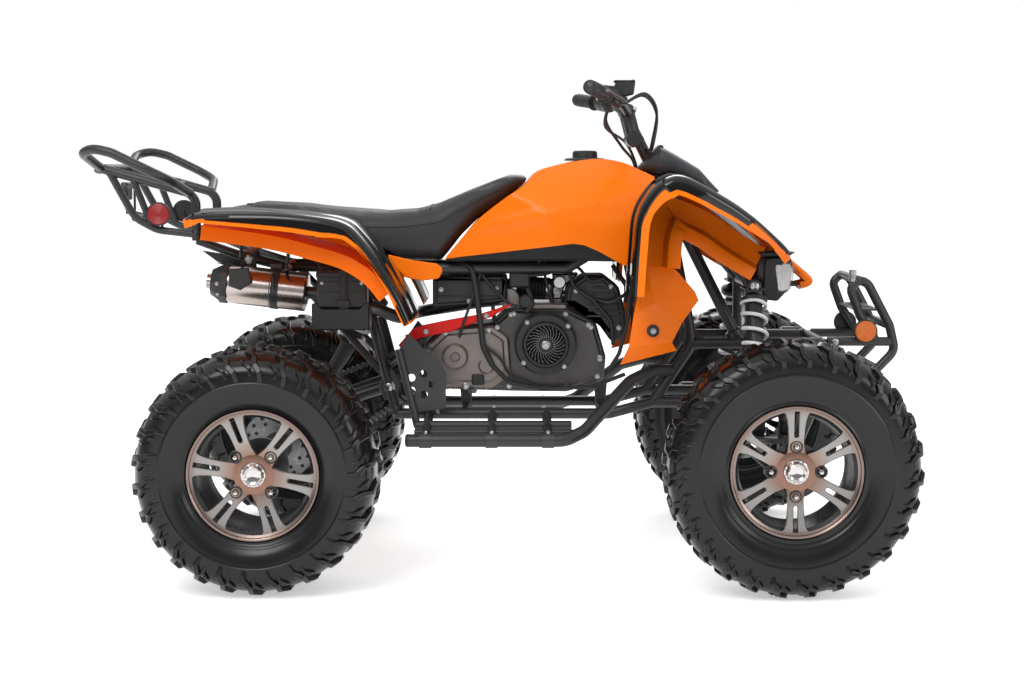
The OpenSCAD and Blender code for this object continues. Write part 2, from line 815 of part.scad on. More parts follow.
function leg_shield() = [
    [st(838), 640], [st(846), 740], [st(852), 812], [st(852) + panel_t, 812],
    [st(846) + panel_t, 740], [st(838) + panel_t, 640]
];

front_trim_top = [
    [st(832), 640], [st(838), 745], [st(844), 818], [st(868), 868], [st(900), 905],
    [st(948), 914], [st(1039), 868], [st(1109), 822], [wheelbase - 4, 762], [wheelbase + 14, 742]
];
module front_fender_trim() {
    color("black") from_rear_axle() both_sides() difference() {
        intersection() {
            side_plate(concat(front_trim_top, reversed(front_fender_top)),
                60, front_fender_y - 44);
            front_plan();
        }
        translate([0, 0, seat_gap]) strip_plate(front_fender_top, panel_t + 4, 0, 600);
        translate([-seat_gap, 0, 0]) side_plate(leg_shield(), 0, 600);
        side_plate([[st(930), 1000], [st(930), 860], [st(1100), 770], [wheelbase - 30, 700],
            [wheelbase + 60, 700], [wheelbase + 60, 1000]], 0, lamp_y + 56);
    }
}

// Front shrouds: side panels between the tank cover and the front arms.
shroud_y = front_inner_y + 4;
module front_shrouds() {
    color("orange") from_rear_axle() both_sides() {
        side_plate([
            [st(868), 748], [st(906), 722], [st(954), 685], [st(996), 638], [st(1005), 617],
            [st(966), 565], [st(942), 518], [st(955), 499], [st(822), 464], [st(842), 507],
            [st(853), 584], [st(865), 649]
        ], shroud_y, shroud_y + panel_t);
        difference() {
            rod([st(940), shroud_y + 2, 560], [st(990), lower_rail_y - 5, 556], 10);
            tube(down_tube(), frame_d + weld_proud + 2 * seat_gap);
        }
    }
}

module instrument_cowl() {
    color("darkslategray") from_rear_axle() difference() {
        intersection() {
            side_plate([
                [st(871), 923], [st(905), 962], [st(926), 980], [st(1020), 925], [st(1067), 872],
                [st(1045), 862], [st(950), 912], [st(930), 909.5]
            ], -80, 80);
            translate([st(850), 0, 0]) rotate([90, 0, 90]) linear_extrude(300)
                polygon([[-80, 850], [80, 850], [80, 900], [40, 985], [-40, 985], [-80, 900]]);
        }
        stem_rod(stem_foot_z, stem_top_z, stem_d + 2 * move_gap);
        side_plate([[st(860), 915], [st(930), 970], [st(1016), 918], [st(1050), 866], [st(950), 905]],
            -74, 74);
    }
    color("darkslategray") from_rear_axle() both_sides() difference() {
        rod([st(1000), 77, 885], [st(1000), 70, 805], 9);
        tube(shock_tower(), cross_d + 2 * seat_gap);
        box([st(960), 40, 700], [st(1040), 110, 800]);
    }
}

// Nose strip between the headlights.
module nose_panel() {
    color("orange") from_rear_axle() {
        side_plate([
            [st(1056), 866], [st(1070), 873], [st(1150), 798], [wheelbase + 40, 722],
            [wheelbase + 113, 661], [wheelbase + 112, 640], [wheelbase + 80, 630],
            [wheelbase + 76, 642], [wheelbase + 96, 660], [wheelbase + 30, 714], [st(1140), 788]
        ], -64, 64);
        both_sides() box([wheelbase + 14, 60, 702], [wheelbase + 30, lamp_inner_y - seat_gap, 724]);
    }
}

lamp_y = 118;
lamp_inner_y = 66;
module headlight_housings() {
    color("black") from_rear_axle() both_sides() {
        difference() {
            side_plate([
                [wheelbase - 26, 716], [wheelbase + 36, 718], [wheelbase + 44, 700],
                [wheelbase + 34, 640], [wheelbase + 10, 612], [wheelbase - 26, 616]
            ], lamp_inner_y, lamp_y + 50);
            side_plate([
                [wheelbase - 6, 706], [wheelbase + 60, 706], [wheelbase + 60, 630],
                [wheelbase + 4, 630]
            ], 72, lamp_y + 44);
        }
        box([shock_top[0] + cross_d / 2 + seat_gap, lower_rail_y - 10, 622],
            [wheelbase - 24, lower_rail_y + 10, 640]);
    }
}

module headlight_lenses() {
    color("white") from_rear_axle() both_sides() {
        side_plate([
            [wheelbase - 5, 705], [wheelbase + 38, 705], [wheelbase + 50, 690],
            [wheelbase + 40, 640], [wheelbase + 28, 631], [wheelbase + 5, 631]
        ], 72.3, lamp_y + 43.7);
    }
}

// Front bumper: two hoops, a cross plate and a lower skid tube.
module front_bumper() {
    color("dimgray") from_rear_axle() {
        difference() {
            union() {
                both_sides() {
                    tube([
                        [frame_front_x + 10, bumper_y, upper_arm_z + 4],
                        [wheelbase + 290, bumper_y, upper_arm_z + 4]
                    ], bumper_d);
                    tube([
                        [frame_front_x + 10, bumper_y, lower_arm_z + 4],
                        [wheelbase + 258, bumper_y, 446], [wheelbase + 300, bumper_y, 490],
                        [wheelbase + 286, bumper_y, 550], [wheelbase + 232, bumper_y, 652],
                        [wheelbase + 210, bumper_y, 660], [wheelbase + 190, bumper_y, 640],
                        [wheelbase + 214, bumper_y, 576], [wheelbase + 252, bumper_y, 516]
                    ], bumper_d);
                }
                cross_pin([wheelbase + 286, 0, 550], 2 * bumper_y, bumper_d);
                cross_pin([wheelbase + 258, 0, 446], 2 * bumper_y, bumper_d);
                cross_pin([wheelbase + 210, 0, 660], 2 * bumper_y, bumper_d);
                box([wheelbase + 204, -bumper_y, 585], [wheelbase + 264, bumper_y, 590]);
                box([wheelbase + 180, -bumper_y - 9, 656], [wheelbase + 212, 9 - bumper_y, 684]);
            }
            for (z = [upper_arm_z, lower_arm_z]) {
                cross_pin([frame_front_x, 0, z], 400, frame_d + weld_proud + 2 * seat_gap);
            }
            both_sides() tube(front_rail(), frame_d + weld_proud + 2 * seat_gap);
            translate([wheelbase + 192, -bumper_y, 650]) cylinder(h = 60, d = flag_bore_d);
        }
    }
}

// Rear rack: main rails, raised corner loops, lower stays and a lamp bracket.
module rear_rack() {
    color("dimgray") from_rear_axle() {
        difference() {
            union() {
                both_sides() {
                    tube([
                        [-180, rack_post_y, post_foot_z], [-180, rack_post_y, 848],
                        [-194, rack_post_y, 867], [-403, rack_post_y, 925]
                    ], rack_d);
                    tube([
                        [-194, rack_post_y, 867], [-211, rack_corner_y - 30, 897],
                        [-253, rack_corner_y, 919], [-338, rack_corner_y, 960],
                        [-381, rack_corner_y - 8, 970], [-412, rack_corner_y - 34, 960],
                        [-403, rack_post_y, 925]
                    ], rack_d);
                    tube([
                        [-384, rack_post_y, 918], [-325, rack_post_y, 808],
                        [-272, rack_post_y, 780], [-184, rack_post_y, 770]
                    ], rack_d - 4);
                    rod([-330, rack_post_y, 906], [-284, rack_post_y, 786], rack_d - 6);
                    translate([-403, rack_post_y, 925]) rotate([90, 0, 0]) sphere(d = rack_d + weld_proud);
                }
                cross_pin([-403, 0, 925], 2 * rack_post_y, rack_d);
                cross_pin([-264, 0, 886.4], 2 * rack_post_y, rack_d - 2);
                cross_pin([-325, 0, 808], 2 * rack_post_y, rack_d - 4);
                box([-368, -46, 816], [-364, 46, 880]);
                box([-392, -30, 846], [-368, 30, 892]);
                for (y = [-36, 36]) {
                    rod([-364, y, 826], [-325, y, 808], 8);
                }
            }
            both_sides() tube(seat_rail(), subframe_d + weld_proud + 2 * seat_gap);
            for (y = [-plate_hole_pitch / 2, plate_hole_pitch / 2]) {
                translate([-375, y, 828]) rotate([0, 90, 0]) cylinder(h = 20, d = plate_hole_d);
            }
        }
    }
}

// Number plate holes in the rack's lamp bracket.
plate_hole_pitch = 60;
plate_hole_d = 7;

reflector_d = 56;
reflector_t = 9;
module reflector_disc(at) {
    cross_pin(at, reflector_t, reflector_d);
}

module red_reflectors() {
    color("red") from_rear_axle() both_sides() {
        reflector_disc([-266, rack_post_y + rack_d / 2 + reflector_t / 2 + seat_gap, 818]);
        box([-272, rack_post_y + rack_d / 2 - 2 + seat_gap, 768], [-260, rack_post_y + rack_d / 2 + 3, 800]);
    }
}

module amber_reflectors() {
    color("goldenrod") from_rear_axle() both_sides() {
        reflector_disc([wheelbase + 226, bumper_y + bumper_d / 2 + reflector_t / 2 + seat_gap, 538]);
    }
}

// Front suspension arms, fixed at their parked height.
ball_d = 30;
module wishbone(rear_x, z_in, z_out) {
    difference() {
        union() {
            for (x = [rear_x, arm_front_x]) {
                rod([x, arm_pivot_y, z_in], [wheelbase, kingpin_y, z_out], arm_d);
                translate([x - arm_lug_gap / 2 + seat_gap, arm_pivot_y, z_in])
                    rotate([0, 90, 0])
                        cylinder(h = arm_lug_gap - 2 * seat_gap, d = arm_boss_d);
            }
            translate([wheelbase, kingpin_y, z_out - 13]) cylinder(h = 26, d = ball_d);
        }
        translate([wheelbase, kingpin_y, z_out - 30]) cylinder(h = 60, d = kingpin_d + 2 * run_gap);
        for (x = [rear_x, arm_front_x]) {
            translate([x - 60, arm_pivot_y, z_in]) rotate([0, 90, 0])
                cylinder(h = 120, d = arm_bolt_d);
        }
    }
}

module front_arms() {
    color("dimgray") from_rear_axle() both_sides() {
        difference() {
            union() {
                wishbone(lower_arm_rear_x, lower_arm_z, lower_joint_z);
                shock_foot_ears();
            }
            cross_pin(shock_foot, 80, shock_pin_d + 2 * seat_gap);
        }
        wishbone(upper_arm_rear_x, upper_arm_z, upper_joint_z);
        for (p = arm_pivots) {
            arm_bolt(p[0], arm_pivot_y, p[1]);
        }
    }
}

module shock_foot_ears() {
    share = (shock_foot[1] - arm_pivot_y) / (kingpin_y - arm_pivot_y);
    arm_x = lower_arm_rear_x + share * (wheelbase - lower_arm_rear_x);
    arm_z = lower_arm_z + share * (lower_joint_z - lower_arm_z);
    for (side = [-1, 1]) {
        y = shock_foot[1] + side * (shock_eye_w + ear_t + 2 * seat_gap) / 2;
        side_plate([
            [arm_x - 4, arm_z], [arm_x + 8, arm_z - 4], [shock_foot[0] + 14, shock_foot[2] - 12],
            [shock_foot[0] + 14, shock_foot[2] + 8], [shock_foot[0] - 14, shock_foot[2] + 8]
        ], y - ear_t / 2, y + ear_t / 2);
    }
}

// Dampers: an eye at each end, a body and a rod, with spring seats.
damper_d = 40;
// The spring seats stand off the two eyes by these lengths.
spring_top_off = 40;
spring_foot_off = 96;
module damper(top, foot) {
    v = foot - top;
    length = norm(v);
    u = v / length;
    seat_top = top + u * spring_top_off;
    seat_foot = foot - u * spring_foot_off;
    difference() {
        union() {
            rod(top, foot, 16);
            rod(top + u * (spring_top_off - 4), top + u * (length * 0.55), damper_d);
            rod(seat_top - u * 4, seat_top, spring_d);
            rod(seat_foot, seat_foot + u * 4, spring_d);
            cross_pin(top, shock_eye_w, shock_eye_d);
            cross_pin(foot, shock_eye_w, shock_eye_d);
        }
        cross_pin(top, 60, shock_pin_d);
        cross_pin(foot, 60, shock_pin_d);
    }
    cross_pin(top, shock_eye_w + 2 * ear_t + 2, shock_pin_d);
    cross_pin(foot, shock_eye_w + 2 * ear_t + 2, shock_pin_d);
}

module dampers() {
    color("darkgray") from_rear_axle() {
        both_sides() damper(shock_top, shock_foot);
        damper(rear_shock_top, rear_shock_foot);
    }
}

// Springs: a plain sleeve stands in for each coil.
module spring_coils(top, foot) {
    v = foot - top;
    length = norm(v);
    u = v / length;
    start = top + u * (spring_top_off + seat_gap);
    run = length - spring_top_off - spring_foot_off - 2 * seat_gap;
    translate(start)
        rotate([0, acos(u[2]), atan2(u[1], u[0])])
            difference() {
                cylinder(h = run, d = spring_d);
                translate([0, 0, -1]) cylinder(h = run + 2, d = damper_d + 2);
            }
}

module springs() {
    color("white") from_rear_axle() {
        both_sides() spring_coils(shock_top, shock_foot);
        spring_coils(rear_shock_top, rear_shock_foot);
    }
}

// Swing arm with the bearing carrier of the rear axle.
swing_half_w = 80;
carrier_half_w = 74;
carrier_d = 78;
module swing_arm() {
    color("dimgray") from_rear_axle() difference() {
        union() {
            cross_pin([pivot_x, 0, pivot_z],
                2 * (lower_rail_y - frame_d / 2 - 4), pivot_sleeve_d);
            both_sides() tube([
                [pivot_x, swing_half_w, pivot_z], [st(120), swing_half_w - 16, 352],
                [0, carrier_half_w - 19, rear_hub_z]
            ], 32);
            cross_pin([st(118), 0, 366], 2 * swing_half_w - 30, 28);
            cross_pin([0, 0, rear_hub_z], 2 * carrier_half_w, carrier_d);
            for (side = [-1, 1]) {
                y = side * (shock_eye_w + ear_t + 2 * seat_gap) / 2;
                side_plate([
                    [st(100), 366], [st(138), 366], [rear_shock_foot[0] + 16, rear_shock_foot[2] + 10],
                    [rear_shock_foot[0] - 16, rear_shock_foot[2] + 10]
                ], y - ear_t / 2, y + ear_t / 2);
            }
            box([-112, -20, rear_hub_z - 24], [-20, 20, rear_hub_z - 8]);
        }
        cross_pin([0, 0, rear_hub_z], 3 * carrier_half_w, axle_d + 2 * run_gap);
        cross_pin([pivot_x, 0, pivot_z], 400, pivot_bolt_d + 2 * seat_gap);
        cross_pin(rear_shock_foot, 80, shock_pin_d + 2 * seat_gap);
        translate([-90, 0, rear_hub_z - 16]) cylinder(h = 40, d = tow_bore_d, center = true);
    }
}

// Chain guard above the gearbox, and the drive chain as a fixed loop.
module chain_guard() {
    color("firebrick") from_rear_axle() {
        side_plate([
            [st(573), 604], [st(528), 588], [st(483), 574], [st(420), 563], [st(347), 548],
            [st(328), 540], [st(292), 500], [st(300), 494], [st(344), 518], [st(418), 533],
            [st(462), 550], [st(518), 569]
        ], -case_half_w - 24, -case_half_w - 6);
        box([st(420), -case_half_w - 8, 528], [st(440), -case_half_w - seat_gap, 541]);
    }
}

sprocket_x = st(398);
sprocket_z = 470;
sprocket_d = 70;
chain_y = 95.5;
chain_w = 15;
chain_t = 13;
chain_steps = 18;
function arc(x, z, r, from, to) = [
    for (i = [0 : chain_steps])
        let(a = from + (to - from) * i / chain_steps) [x + r * cos(a), z + r * sin(a)]
];
module chain_outline(grow) {
    wheel_r = chain_wheel_d / 2 + 2 + grow;
    sprocket_r = sprocket_d / 2 + 1 + grow;
    rise = sprocket_z - rear_hub_z;
    base = atan2(rise, sprocket_x);
    lean = acos((wheel_r - sprocket_r) / norm([sprocket_x, rise]));
    polygon(concat(
        arc(0, rear_hub_z, wheel_r, base + lean, base + 360 - lean),
        arc(sprocket_x, sprocket_z, sprocket_r, base - lean, base + lean)
    ));
}

module drive_chain() {
    color("gray") from_rear_axle()
        translate([0, chain_y + chain_w / 2, 0]) rotate([90, 0, 0]) linear_extrude(chain_w)
            difference() {
                chain_outline(chain_t);
                chain_outline(0);
            }
}

// Rear axle: shaft, chain wheel, brake disc and a hub flange at each end.
hub_flange_t = 8;
disc_t = 5;
rim_face_inset = 30;
rear_hub_y = rear_tyre_y + rear_rim_w / 2 - rim_face_inset;
front_hub_y = front_tyre_y + front_rim_w / 2 - rim_face_inset;
module hub_flange(y, z, x, sleeve, d) {
    side = sign(y);
    translate([x, y, z]) rotate([side * 90, 0, 0]) {
        cylinder(h = hub_flange_t, d = lug_circle_d + 30);
        cylinder(h = sleeve, d = d);
    }
    for (a = [45 : 90 : 315]) {
        translate([x + cos(a) * lug_circle_d / 2, y - side * 1, z + sin(a) * lug_circle_d / 2])
            rotate([-side * 90, 0, 0]) cylinder(h = 22, d = 10);
    }
}

module rear_axle() {
    color("gray") from_rear_axle() {
        cross_pin([0, 0, rear_hub_z], 2 * rear_hub_y, axle_d);
        for (side = [-1, 1]) {
            hub_flange(side * rear_hub_y, rear_hub_z, 0, 60, axle_d + 24);
        }
        cross_pin([0, chain_y, rear_hub_z], 7, chain_wheel_d);
        cross_pin([0, chain_y - 9, rear_hub_z], 24, axle_d + 30);
        cross_pin([0, -chain_y, rear_hub_z], disc_t, disc_d);
        cross_pin([0, 9 - chain_y, rear_hub_z], 24, axle_d + 30);
    }
}

// A cast rim about the Y axis, its outer face towards +Y, centred on its barrel.
lug_clear = 0.3;
module rim(width) {
    lip_r = rim_lip_d / 2;
    barrel_r = lip_r - 18;
    face_y = width / 2 - rim_face_inset;
    face_t = 16;
    difference() {
        union() {
            rotate([-90, 0, 0]) rotate_extrude($fn = 96) polygon([
                [barrel_r - rim_wall, -width / 2 + 6], [lip_r, -width / 2],
                [lip_r, -width / 2 + 5], [barrel_r, -width / 2 + 20],
                [barrel_r, width / 2 - 20], [lip_r, width / 2 - 5], [lip_r, width / 2],
                [barrel_r - rim_wall + 2, width / 2 - 8], [barrel_r - rim_wall, width / 2 - 30]
            ]);
            translate([0, face_y, 0]) rotate([-90, 0, 0])
                cylinder(h = face_t, r = barrel_r - rim_wall / 2);
            translate([0, face_y + face_t - 1, 0]) rotate([-90, 0, 0])
                cylinder(h = 14, d = 62);
        }
        for (k = [0 : spoke_count - 1]) {
            rotate([0, k * 360 / spoke_count, 0]) spoke_window(face_y, face_t, barrel_r - rim_wall - 3);
        }
        for (a = [45 : 90 : 315]) {
            translate([cos(a) * lug_circle_d / 2, face_y - 1, sin(a) * lug_circle_d / 2])
                rotate([-90, 0, 0]) cylinder(h = 60, d = 10 + 2 * lug_clear);
        }
    }
}

// One opening between two spokes, and the slot that splits a spoke's outer end.
module spoke_window(face_y, face_t, reach) {
    inner = 74;
    half = 180 / spoke_count;
    translate([0, face_y + face_t + 1, 0]) rotate([90, 0, 0]) linear_extrude(face_t + 2) {
        polygon([
            [inner * cos(half - 5), inner * sin(half - 5)], [inner * cos(half + 5), inner * sin(half + 5)],
            [reach * cos(half + 13), reach * sin(half + 13)], [reach * cos(half), reach * sin(half)],
            [reach * cos(half - 13), reach * sin(half - 13)]
        ]);
        translate([inner + 12, -4]) square([reach - inner - 14, 8]);
    }
}

// A balloon tyre about the Y axis that seats on the rim's barrel.
module tyre(d, width, rim_w) {
    r = d / 2;
    bead_r = rim_lip_d / 2 - 18 + seat_gap;
    lip_in = rim_w / 2 - 20;
    rotate([-90, 0, 0]) rotate_extrude($fn = 96) polygon([
        [bead_r, -lip_in + 1], [bead_r + 18, -lip_in - 10], [r * 0.64, -width / 2 + 6],
        [r * 0.76, -width / 2], [r * 0.88, -width / 2 + 6], [r * 0.955, -width / 2 + 22],
        [r - 2, -width * 0.34], [r, -width * 0.2], [r, width * 0.2], [r - 2, width * 0.34],
        [r * 0.955, width / 2 - 22], [r * 0.88, width / 2 - 6], [r * 0.76, width / 2],
        [r * 0.64, width / 2 - 6], [bead_r + 18, lip_in + 10], [bead_r, lip_in - 1]
    ]);
}

module rear_rims() {
    color("silver") from_rear_axle() both_sides()
        translate([0, rear_tyre_y, rear_hub_z]) rim(rear_rim_w);
}

module rear_tyres() {
    color("black") from_rear_axle() both_sides()
        translate([0, rear_tyre_y, rear_hub_z]) tyre(rear_tyre_d, rear_tyre_w, rear_rim_w);
}

module front_wheel_at(side) {
    from_rear_axle() mirror([0, side < 0 ? 1 : 0, 0])
        translate([wheelbase, front_tyre_y, front_hub_z]) children();
}

// Front rims carry their hub, which turns on the upright's stub axle.
module front_rim() {
    hub_y = front_rim_w / 2 - rim_face_inset;
    difference() {
        union() {
            rim(front_rim_w);
            translate([0, hub_y - 44, 0]) rotate([-90, 0, 0]) cylinder(h = 44.5, d = 58);
            translate([0, hub_y - 46, 0]) rotate([-90, 0, 0]) cylinder(h = disc_t, d = disc_d - 16);
            for (a = [45 : 90 : 315]) {
                translate([cos(a) * lug_circle_d / 2, hub_y + 4, sin(a) * lug_circle_d / 2])
                    rotate([-90, 0, 0]) cylinder(h = 18, d = 11);
            }
        }
        translate([0, hub_y - 60, 0]) rotate([-90, 0, 0])
            cylinder(h = 70, d = stub_d + 2 * run_gap);
    }
}

module front_rim_left() { color("silver") front_wheel_at(1) front_rim(); }
module front_rim_right() { color("silver") front_wheel_at(-1) front_rim(); }
module front_tyre_left() {
    color("black") front_wheel_at(1) tyre(front_tyre_d, front_tyre_w, front_rim_w);
}
module front_tyre_right() {
    color("black") front_wheel_at(-1) tyre(front_tyre_d, front_tyre_w, front_rim_w);
}

// Front uprights: kingpin, stub axle and steering arm, on the left side.
upright_neck = 25;
module upright() {
    hub_y = front_tyre_y + front_rim_w / 2 - rim_face_inset;
    difference() {
        union() {
            translate([wheelbase, kingpin_y, lower_joint_z - 20])
                cylinder(h = upper_joint_z - lower_joint_z + 40, d = kingpin_d);
            translate([wheelbase, kingpin_y, lower_joint_z + upright_neck])
                cylinder(h = upper_joint_z - lower_joint_z - 2 * upright_neck, d = 36);
            translate([wheelbase, kingpin_y, front_hub_z]) rotate([-90, 0, 0])
                cylinder(h = hub_y + 6 - kingpin_y, d = stub_d);
            translate([wheelbase, kingpin_y, front_hub_z]) rotate([-90, 0, 0])
                cylinder(h = hub_y - 46 - 1 - kingpin_y, d = 46);
            rod([wheelbase, kingpin_y, rod_pin[2] - 14], [rod_pin[0], kingpin_y, rod_pin[2] - 14], 16);
            translate([rod_pin[0], rod_pin[1], rod_pin[2] - 22]) cylinder(h = 14, d = 24);
        }
        translate([rod_pin[0], rod_pin[1], rod_pin[2] - 30]) cylinder(h = 40, d = 8);
    }
}

module upright_left() { color("gray") from_rear_axle() upright(); }
module upright_right() { color("gray") from_rear_axle() mirror([0, 1, 0]) upright(); }

// Handlebar and steering stem, one rigid piece down to the steering arm.
clamp_z = 1040;
// Bends of one half of the bar: ahead of the stem's top, to the side, above the grips.
bar_bends = [
    [-6, 56, clamp_z + 20 - grip_z], [-26, 120, -24], [-112, bar_w / 2, 0]
];
function bar_at(y) = let (t = (y - 120) / (bar_w / 2 - 120)) bar_bends[1] + t * (bar_bends[2] - bar_bends[1]);
module handlebar() {
    top = [stem_x(clamp_z), 0, clamp_z];
    color("black") from_rear_axle() {
        difference() {
            union() {
                stem_rod(stem_foot_z, clamp_z, stem_d);
                tube([
                    for (side = [-1, 1], k = side > 0 ? [0:2] : [2:-1:0])
                        let (p = bar_bends[k])
                            [top[0] + p[0], side * p[1], grip_z + p[2]]
                ], bar_d, poles_along = false);
                both_sides()
                    rod([top[0] + 12, 33, clamp_z - 44], [top[0] - 5, 33, clamp_z + 22], 34);
                cross_pin([top[0] + 12, 0, clamp_z - 44], 112, 40);
                pitman();
            }
            both_sides() {
                translate(pitman_pin) rotate([0, -stem_rake, 0])
                    cylinder(h = 40, d = rod_bolt_d + 2 * run_gap, center = true);
            }
        }
    }
}

rod_bolt_d = 10;
pitman_t = 8;
module pitman() {
    translate([stem_foot_x, 0, stem_foot_z]) rotate([0, -stem_rake, 0]) translate([0, 0, -4]) {
        linear_extrude(pitman_t) polygon([
            [20, -16], [20, 16], [-pitman_reach - 14, pitman_pin_y + 14],
            [-pitman_reach - 14, -pitman_pin_y - 14]
        ]);
    }
}

module bar_controls() {
    top_x = stem_x(clamp_z);
    bar_top = [top_x, 0, grip_z];
    color("black") from_rear_axle() both_sides() difference() {
        union() {
            rod(bar_top + bar_at(250), bar_top + bar_at(bar_w / 2 + 4), 33);
            rod(bar_top + bar_at(156), bar_top + bar_at(216), 40);
            box([top_x - 46, 120, grip_z - 10], [top_x + 6, 168, grip_z + 22]);
            rod([top_x - 26, 180, grip_z - 18], [top_x - 70, 340, grip_z - 16], 10);
        }
        rod(bar_top + bar_at(120), bar_top + bar_at(bar_w / 2), bar_d + 2 * seat_gap);
        translate(bar_top + bar_at(120)) sphere(d = bar_d + weld_proud + 2 * seat_gap);
    }
}

// Tie rods, carried by the pins of the steering arm; the outer eye hangs over
// the upright's steering arm with a gap.
rod_end_d = 24;
module tie_rod() {
    eye = [rod_pin[0], rod_pin[1], rod_pin[2] + 6];
    inner = pitman_pin + 24 * [-sin(stem_rake), 0, cos(stem_rake)];
    rod(inner, eye, 13);
    translate(eye) cylinder(h = 12, d = rod_end_d, center = true);
    translate(pitman_pin) rotate([0, -stem_rake, 0]) translate([0, 0, 4 + seat_gap])
        cylinder(h = 29, d = rod_end_d);
    translate(pitman_pin) rotate([0, -stem_rake, 0]) translate([0, 0, -8])
        cylinder(h = 34, d = rod_bolt_d);
}

module tie_rod_left() { color("gray") from_rear_axle() tie_rod(); }
module tie_rod_right() { color("gray") from_rear_axle() mirror([0, 1, 0]) tie_rod(); }

main_frame();
rear_subframe();
engine();
fan_cover();
cylinder_cowl();
carburettor();
airbox();
silencer();
battery();
foot_bars();
heel_guards();
seat();
tank_cover();
rear_fenders();
rear_fender_trim();
front_fenders();
front_fender_trim();
front_shrouds();
instrument_cowl();
nose_panel();
headlight_housings();
headlight_lenses();
front_bumper();
rear_rack();
red_reflectors();
amber_reflectors();
front_arms();
dampers();
springs();
swing_arm();
chain_guard();
drive_chain();
rear_axle();
rear_rims();
rear_tyres();
handlebar();
bar_controls();
tie_rod_left();
tie_rod_right();
upright_left();
upright_right();
front_rim_left();
front_tyre_left();
front_rim_right();
front_tyre_right();
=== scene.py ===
# %% [markdown]
# # A sport quad bike around its CAD frame
# The CAD model fixes every size and every axis of this quad bike. This lesson adds its
# looks: smooth bent tubes, moulded panels, a stuffed saddle, cast wheels and knobbly tyres.
# A modeller could push vertices by hand, but surfaces worked out as arrays are exact,
# repeatable and quick to change, so every piece here is a formula on a grid.
# %% Load the frame
import math

import bmesh
import bpy
import numpy as np
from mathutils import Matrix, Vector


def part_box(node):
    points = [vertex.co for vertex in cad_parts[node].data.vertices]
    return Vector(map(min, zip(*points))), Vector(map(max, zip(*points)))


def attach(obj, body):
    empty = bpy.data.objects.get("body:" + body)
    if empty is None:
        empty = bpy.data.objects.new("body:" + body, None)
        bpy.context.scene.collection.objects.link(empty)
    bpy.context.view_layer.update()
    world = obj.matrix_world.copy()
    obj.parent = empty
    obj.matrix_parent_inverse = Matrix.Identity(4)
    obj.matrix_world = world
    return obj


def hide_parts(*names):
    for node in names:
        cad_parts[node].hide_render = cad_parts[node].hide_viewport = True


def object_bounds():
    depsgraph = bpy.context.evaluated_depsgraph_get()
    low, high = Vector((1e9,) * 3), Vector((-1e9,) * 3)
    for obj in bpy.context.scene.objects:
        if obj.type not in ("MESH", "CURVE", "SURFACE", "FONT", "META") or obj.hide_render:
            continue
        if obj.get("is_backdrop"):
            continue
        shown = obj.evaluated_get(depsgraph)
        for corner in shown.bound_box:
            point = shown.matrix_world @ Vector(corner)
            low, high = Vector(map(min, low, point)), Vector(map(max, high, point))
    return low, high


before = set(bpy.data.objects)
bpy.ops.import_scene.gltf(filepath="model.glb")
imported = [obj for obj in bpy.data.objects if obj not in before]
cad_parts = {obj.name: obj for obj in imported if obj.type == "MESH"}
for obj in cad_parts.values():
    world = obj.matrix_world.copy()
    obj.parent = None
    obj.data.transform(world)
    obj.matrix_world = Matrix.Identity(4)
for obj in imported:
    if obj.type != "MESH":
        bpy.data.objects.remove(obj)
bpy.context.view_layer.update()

# %% [markdown]
# A workshop drawing of a vehicle is measured from the rear hub, in millimetres. The lesson
# keeps that habit: sizes below are millimetres ahead of the rear hub, to the rider's left,
# and above the drawing's datum. One function turns them into Blender's metres.
# %% Millimetres from the rear hub
MM = 0.001
REAR_HUB_Z = 256.0
tyre_low, tyre_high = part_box("rear_tyres")
ORIGIN = np.array([
    (tyre_low.x + tyre_high.x) / 2, 0.0, (tyre_low.z + tyre_high.z) / 2 - REAR_HUB_Z * MM
])
WHEELBASE = 1186.0
FRONT_HUB_Z = 266.5
UP, LEFT, AHEAD = np.array([0, 0, 1.0]), np.array([0, 1.0, 0]), np.array([1.0, 0, 0])


def place(points):
    """Millimetres on the drawing to metres in the row frame: scaled, then moved to the hub."""
    return np.asarray(points, float) * MM + ORIGIN


print("rear hub at", ORIGIN.round(4))

# %% [markdown]
# A shape here is a pair: an array of points and a list of index arrays, one array for each
# kind of face. Shapes stay in millimetres and are only put into a mesh at the end, so many
# small ones (bolts, fins, links) can be joined into one piece cheaply.
# %% Shapes from arrays


def unit(v):
    """A vector divided by its own length, along the last axis."""
    v = np.asarray(v, float)
    return v / np.maximum(np.linalg.norm(v, axis=-1, keepdims=True), 1e-9)


def merge(shapes):
    """Joins shapes: their points are stacked and each face index moves by the points before it."""
    points, faces, base = [], [], 0
    for shape_points, shape_faces in shapes:
        points.append(shape_points)
        faces += [f + base for f in shape_faces]
        base += len(shape_points)
    return np.vstack(points), faces


def grid(points, wrap_u=False, wrap_v=False, caps=False):
    """Quads over points[u, v]; wrapping joins the last row or column to the first, caps close
    the first and last rows with one face each."""
    nu, nv = points.shape[:2]
    index = np.arange(nu * nv).reshape(nu, nv)
    full = np.vstack([index, index[:1]]) if wrap_u else index
    full = np.hstack([full, full[:, :1]]) if wrap_v else full
    quads = np.stack([full[:-1, :-1], full[1:, :-1], full[1:, 1:], full[:-1, 1:]], -1)
    faces = [quads.reshape(-1, 4)]
    if caps:
        faces += [index[:1, ::-1], index[-1:]]
    return points.reshape(-1, 3), faces


def copies(shape, moves):
    """One shape repeated: point @ turn + shift for every (turn, shift) pair, as one array."""
    points, faces = shape
    turns = np.array([m[0] for m in moves])
    shifts = np.array([m[1] for m in moves])
    moved = np.einsum("nj,kij->kni", points, turns) + shifts[:, None, :]
    step = np.arange(len(moves))[:, None, None] * len(points)
    return moved.reshape(-1, 3), [(f[None] + step).reshape(-1, f.shape[1]) for f in faces]


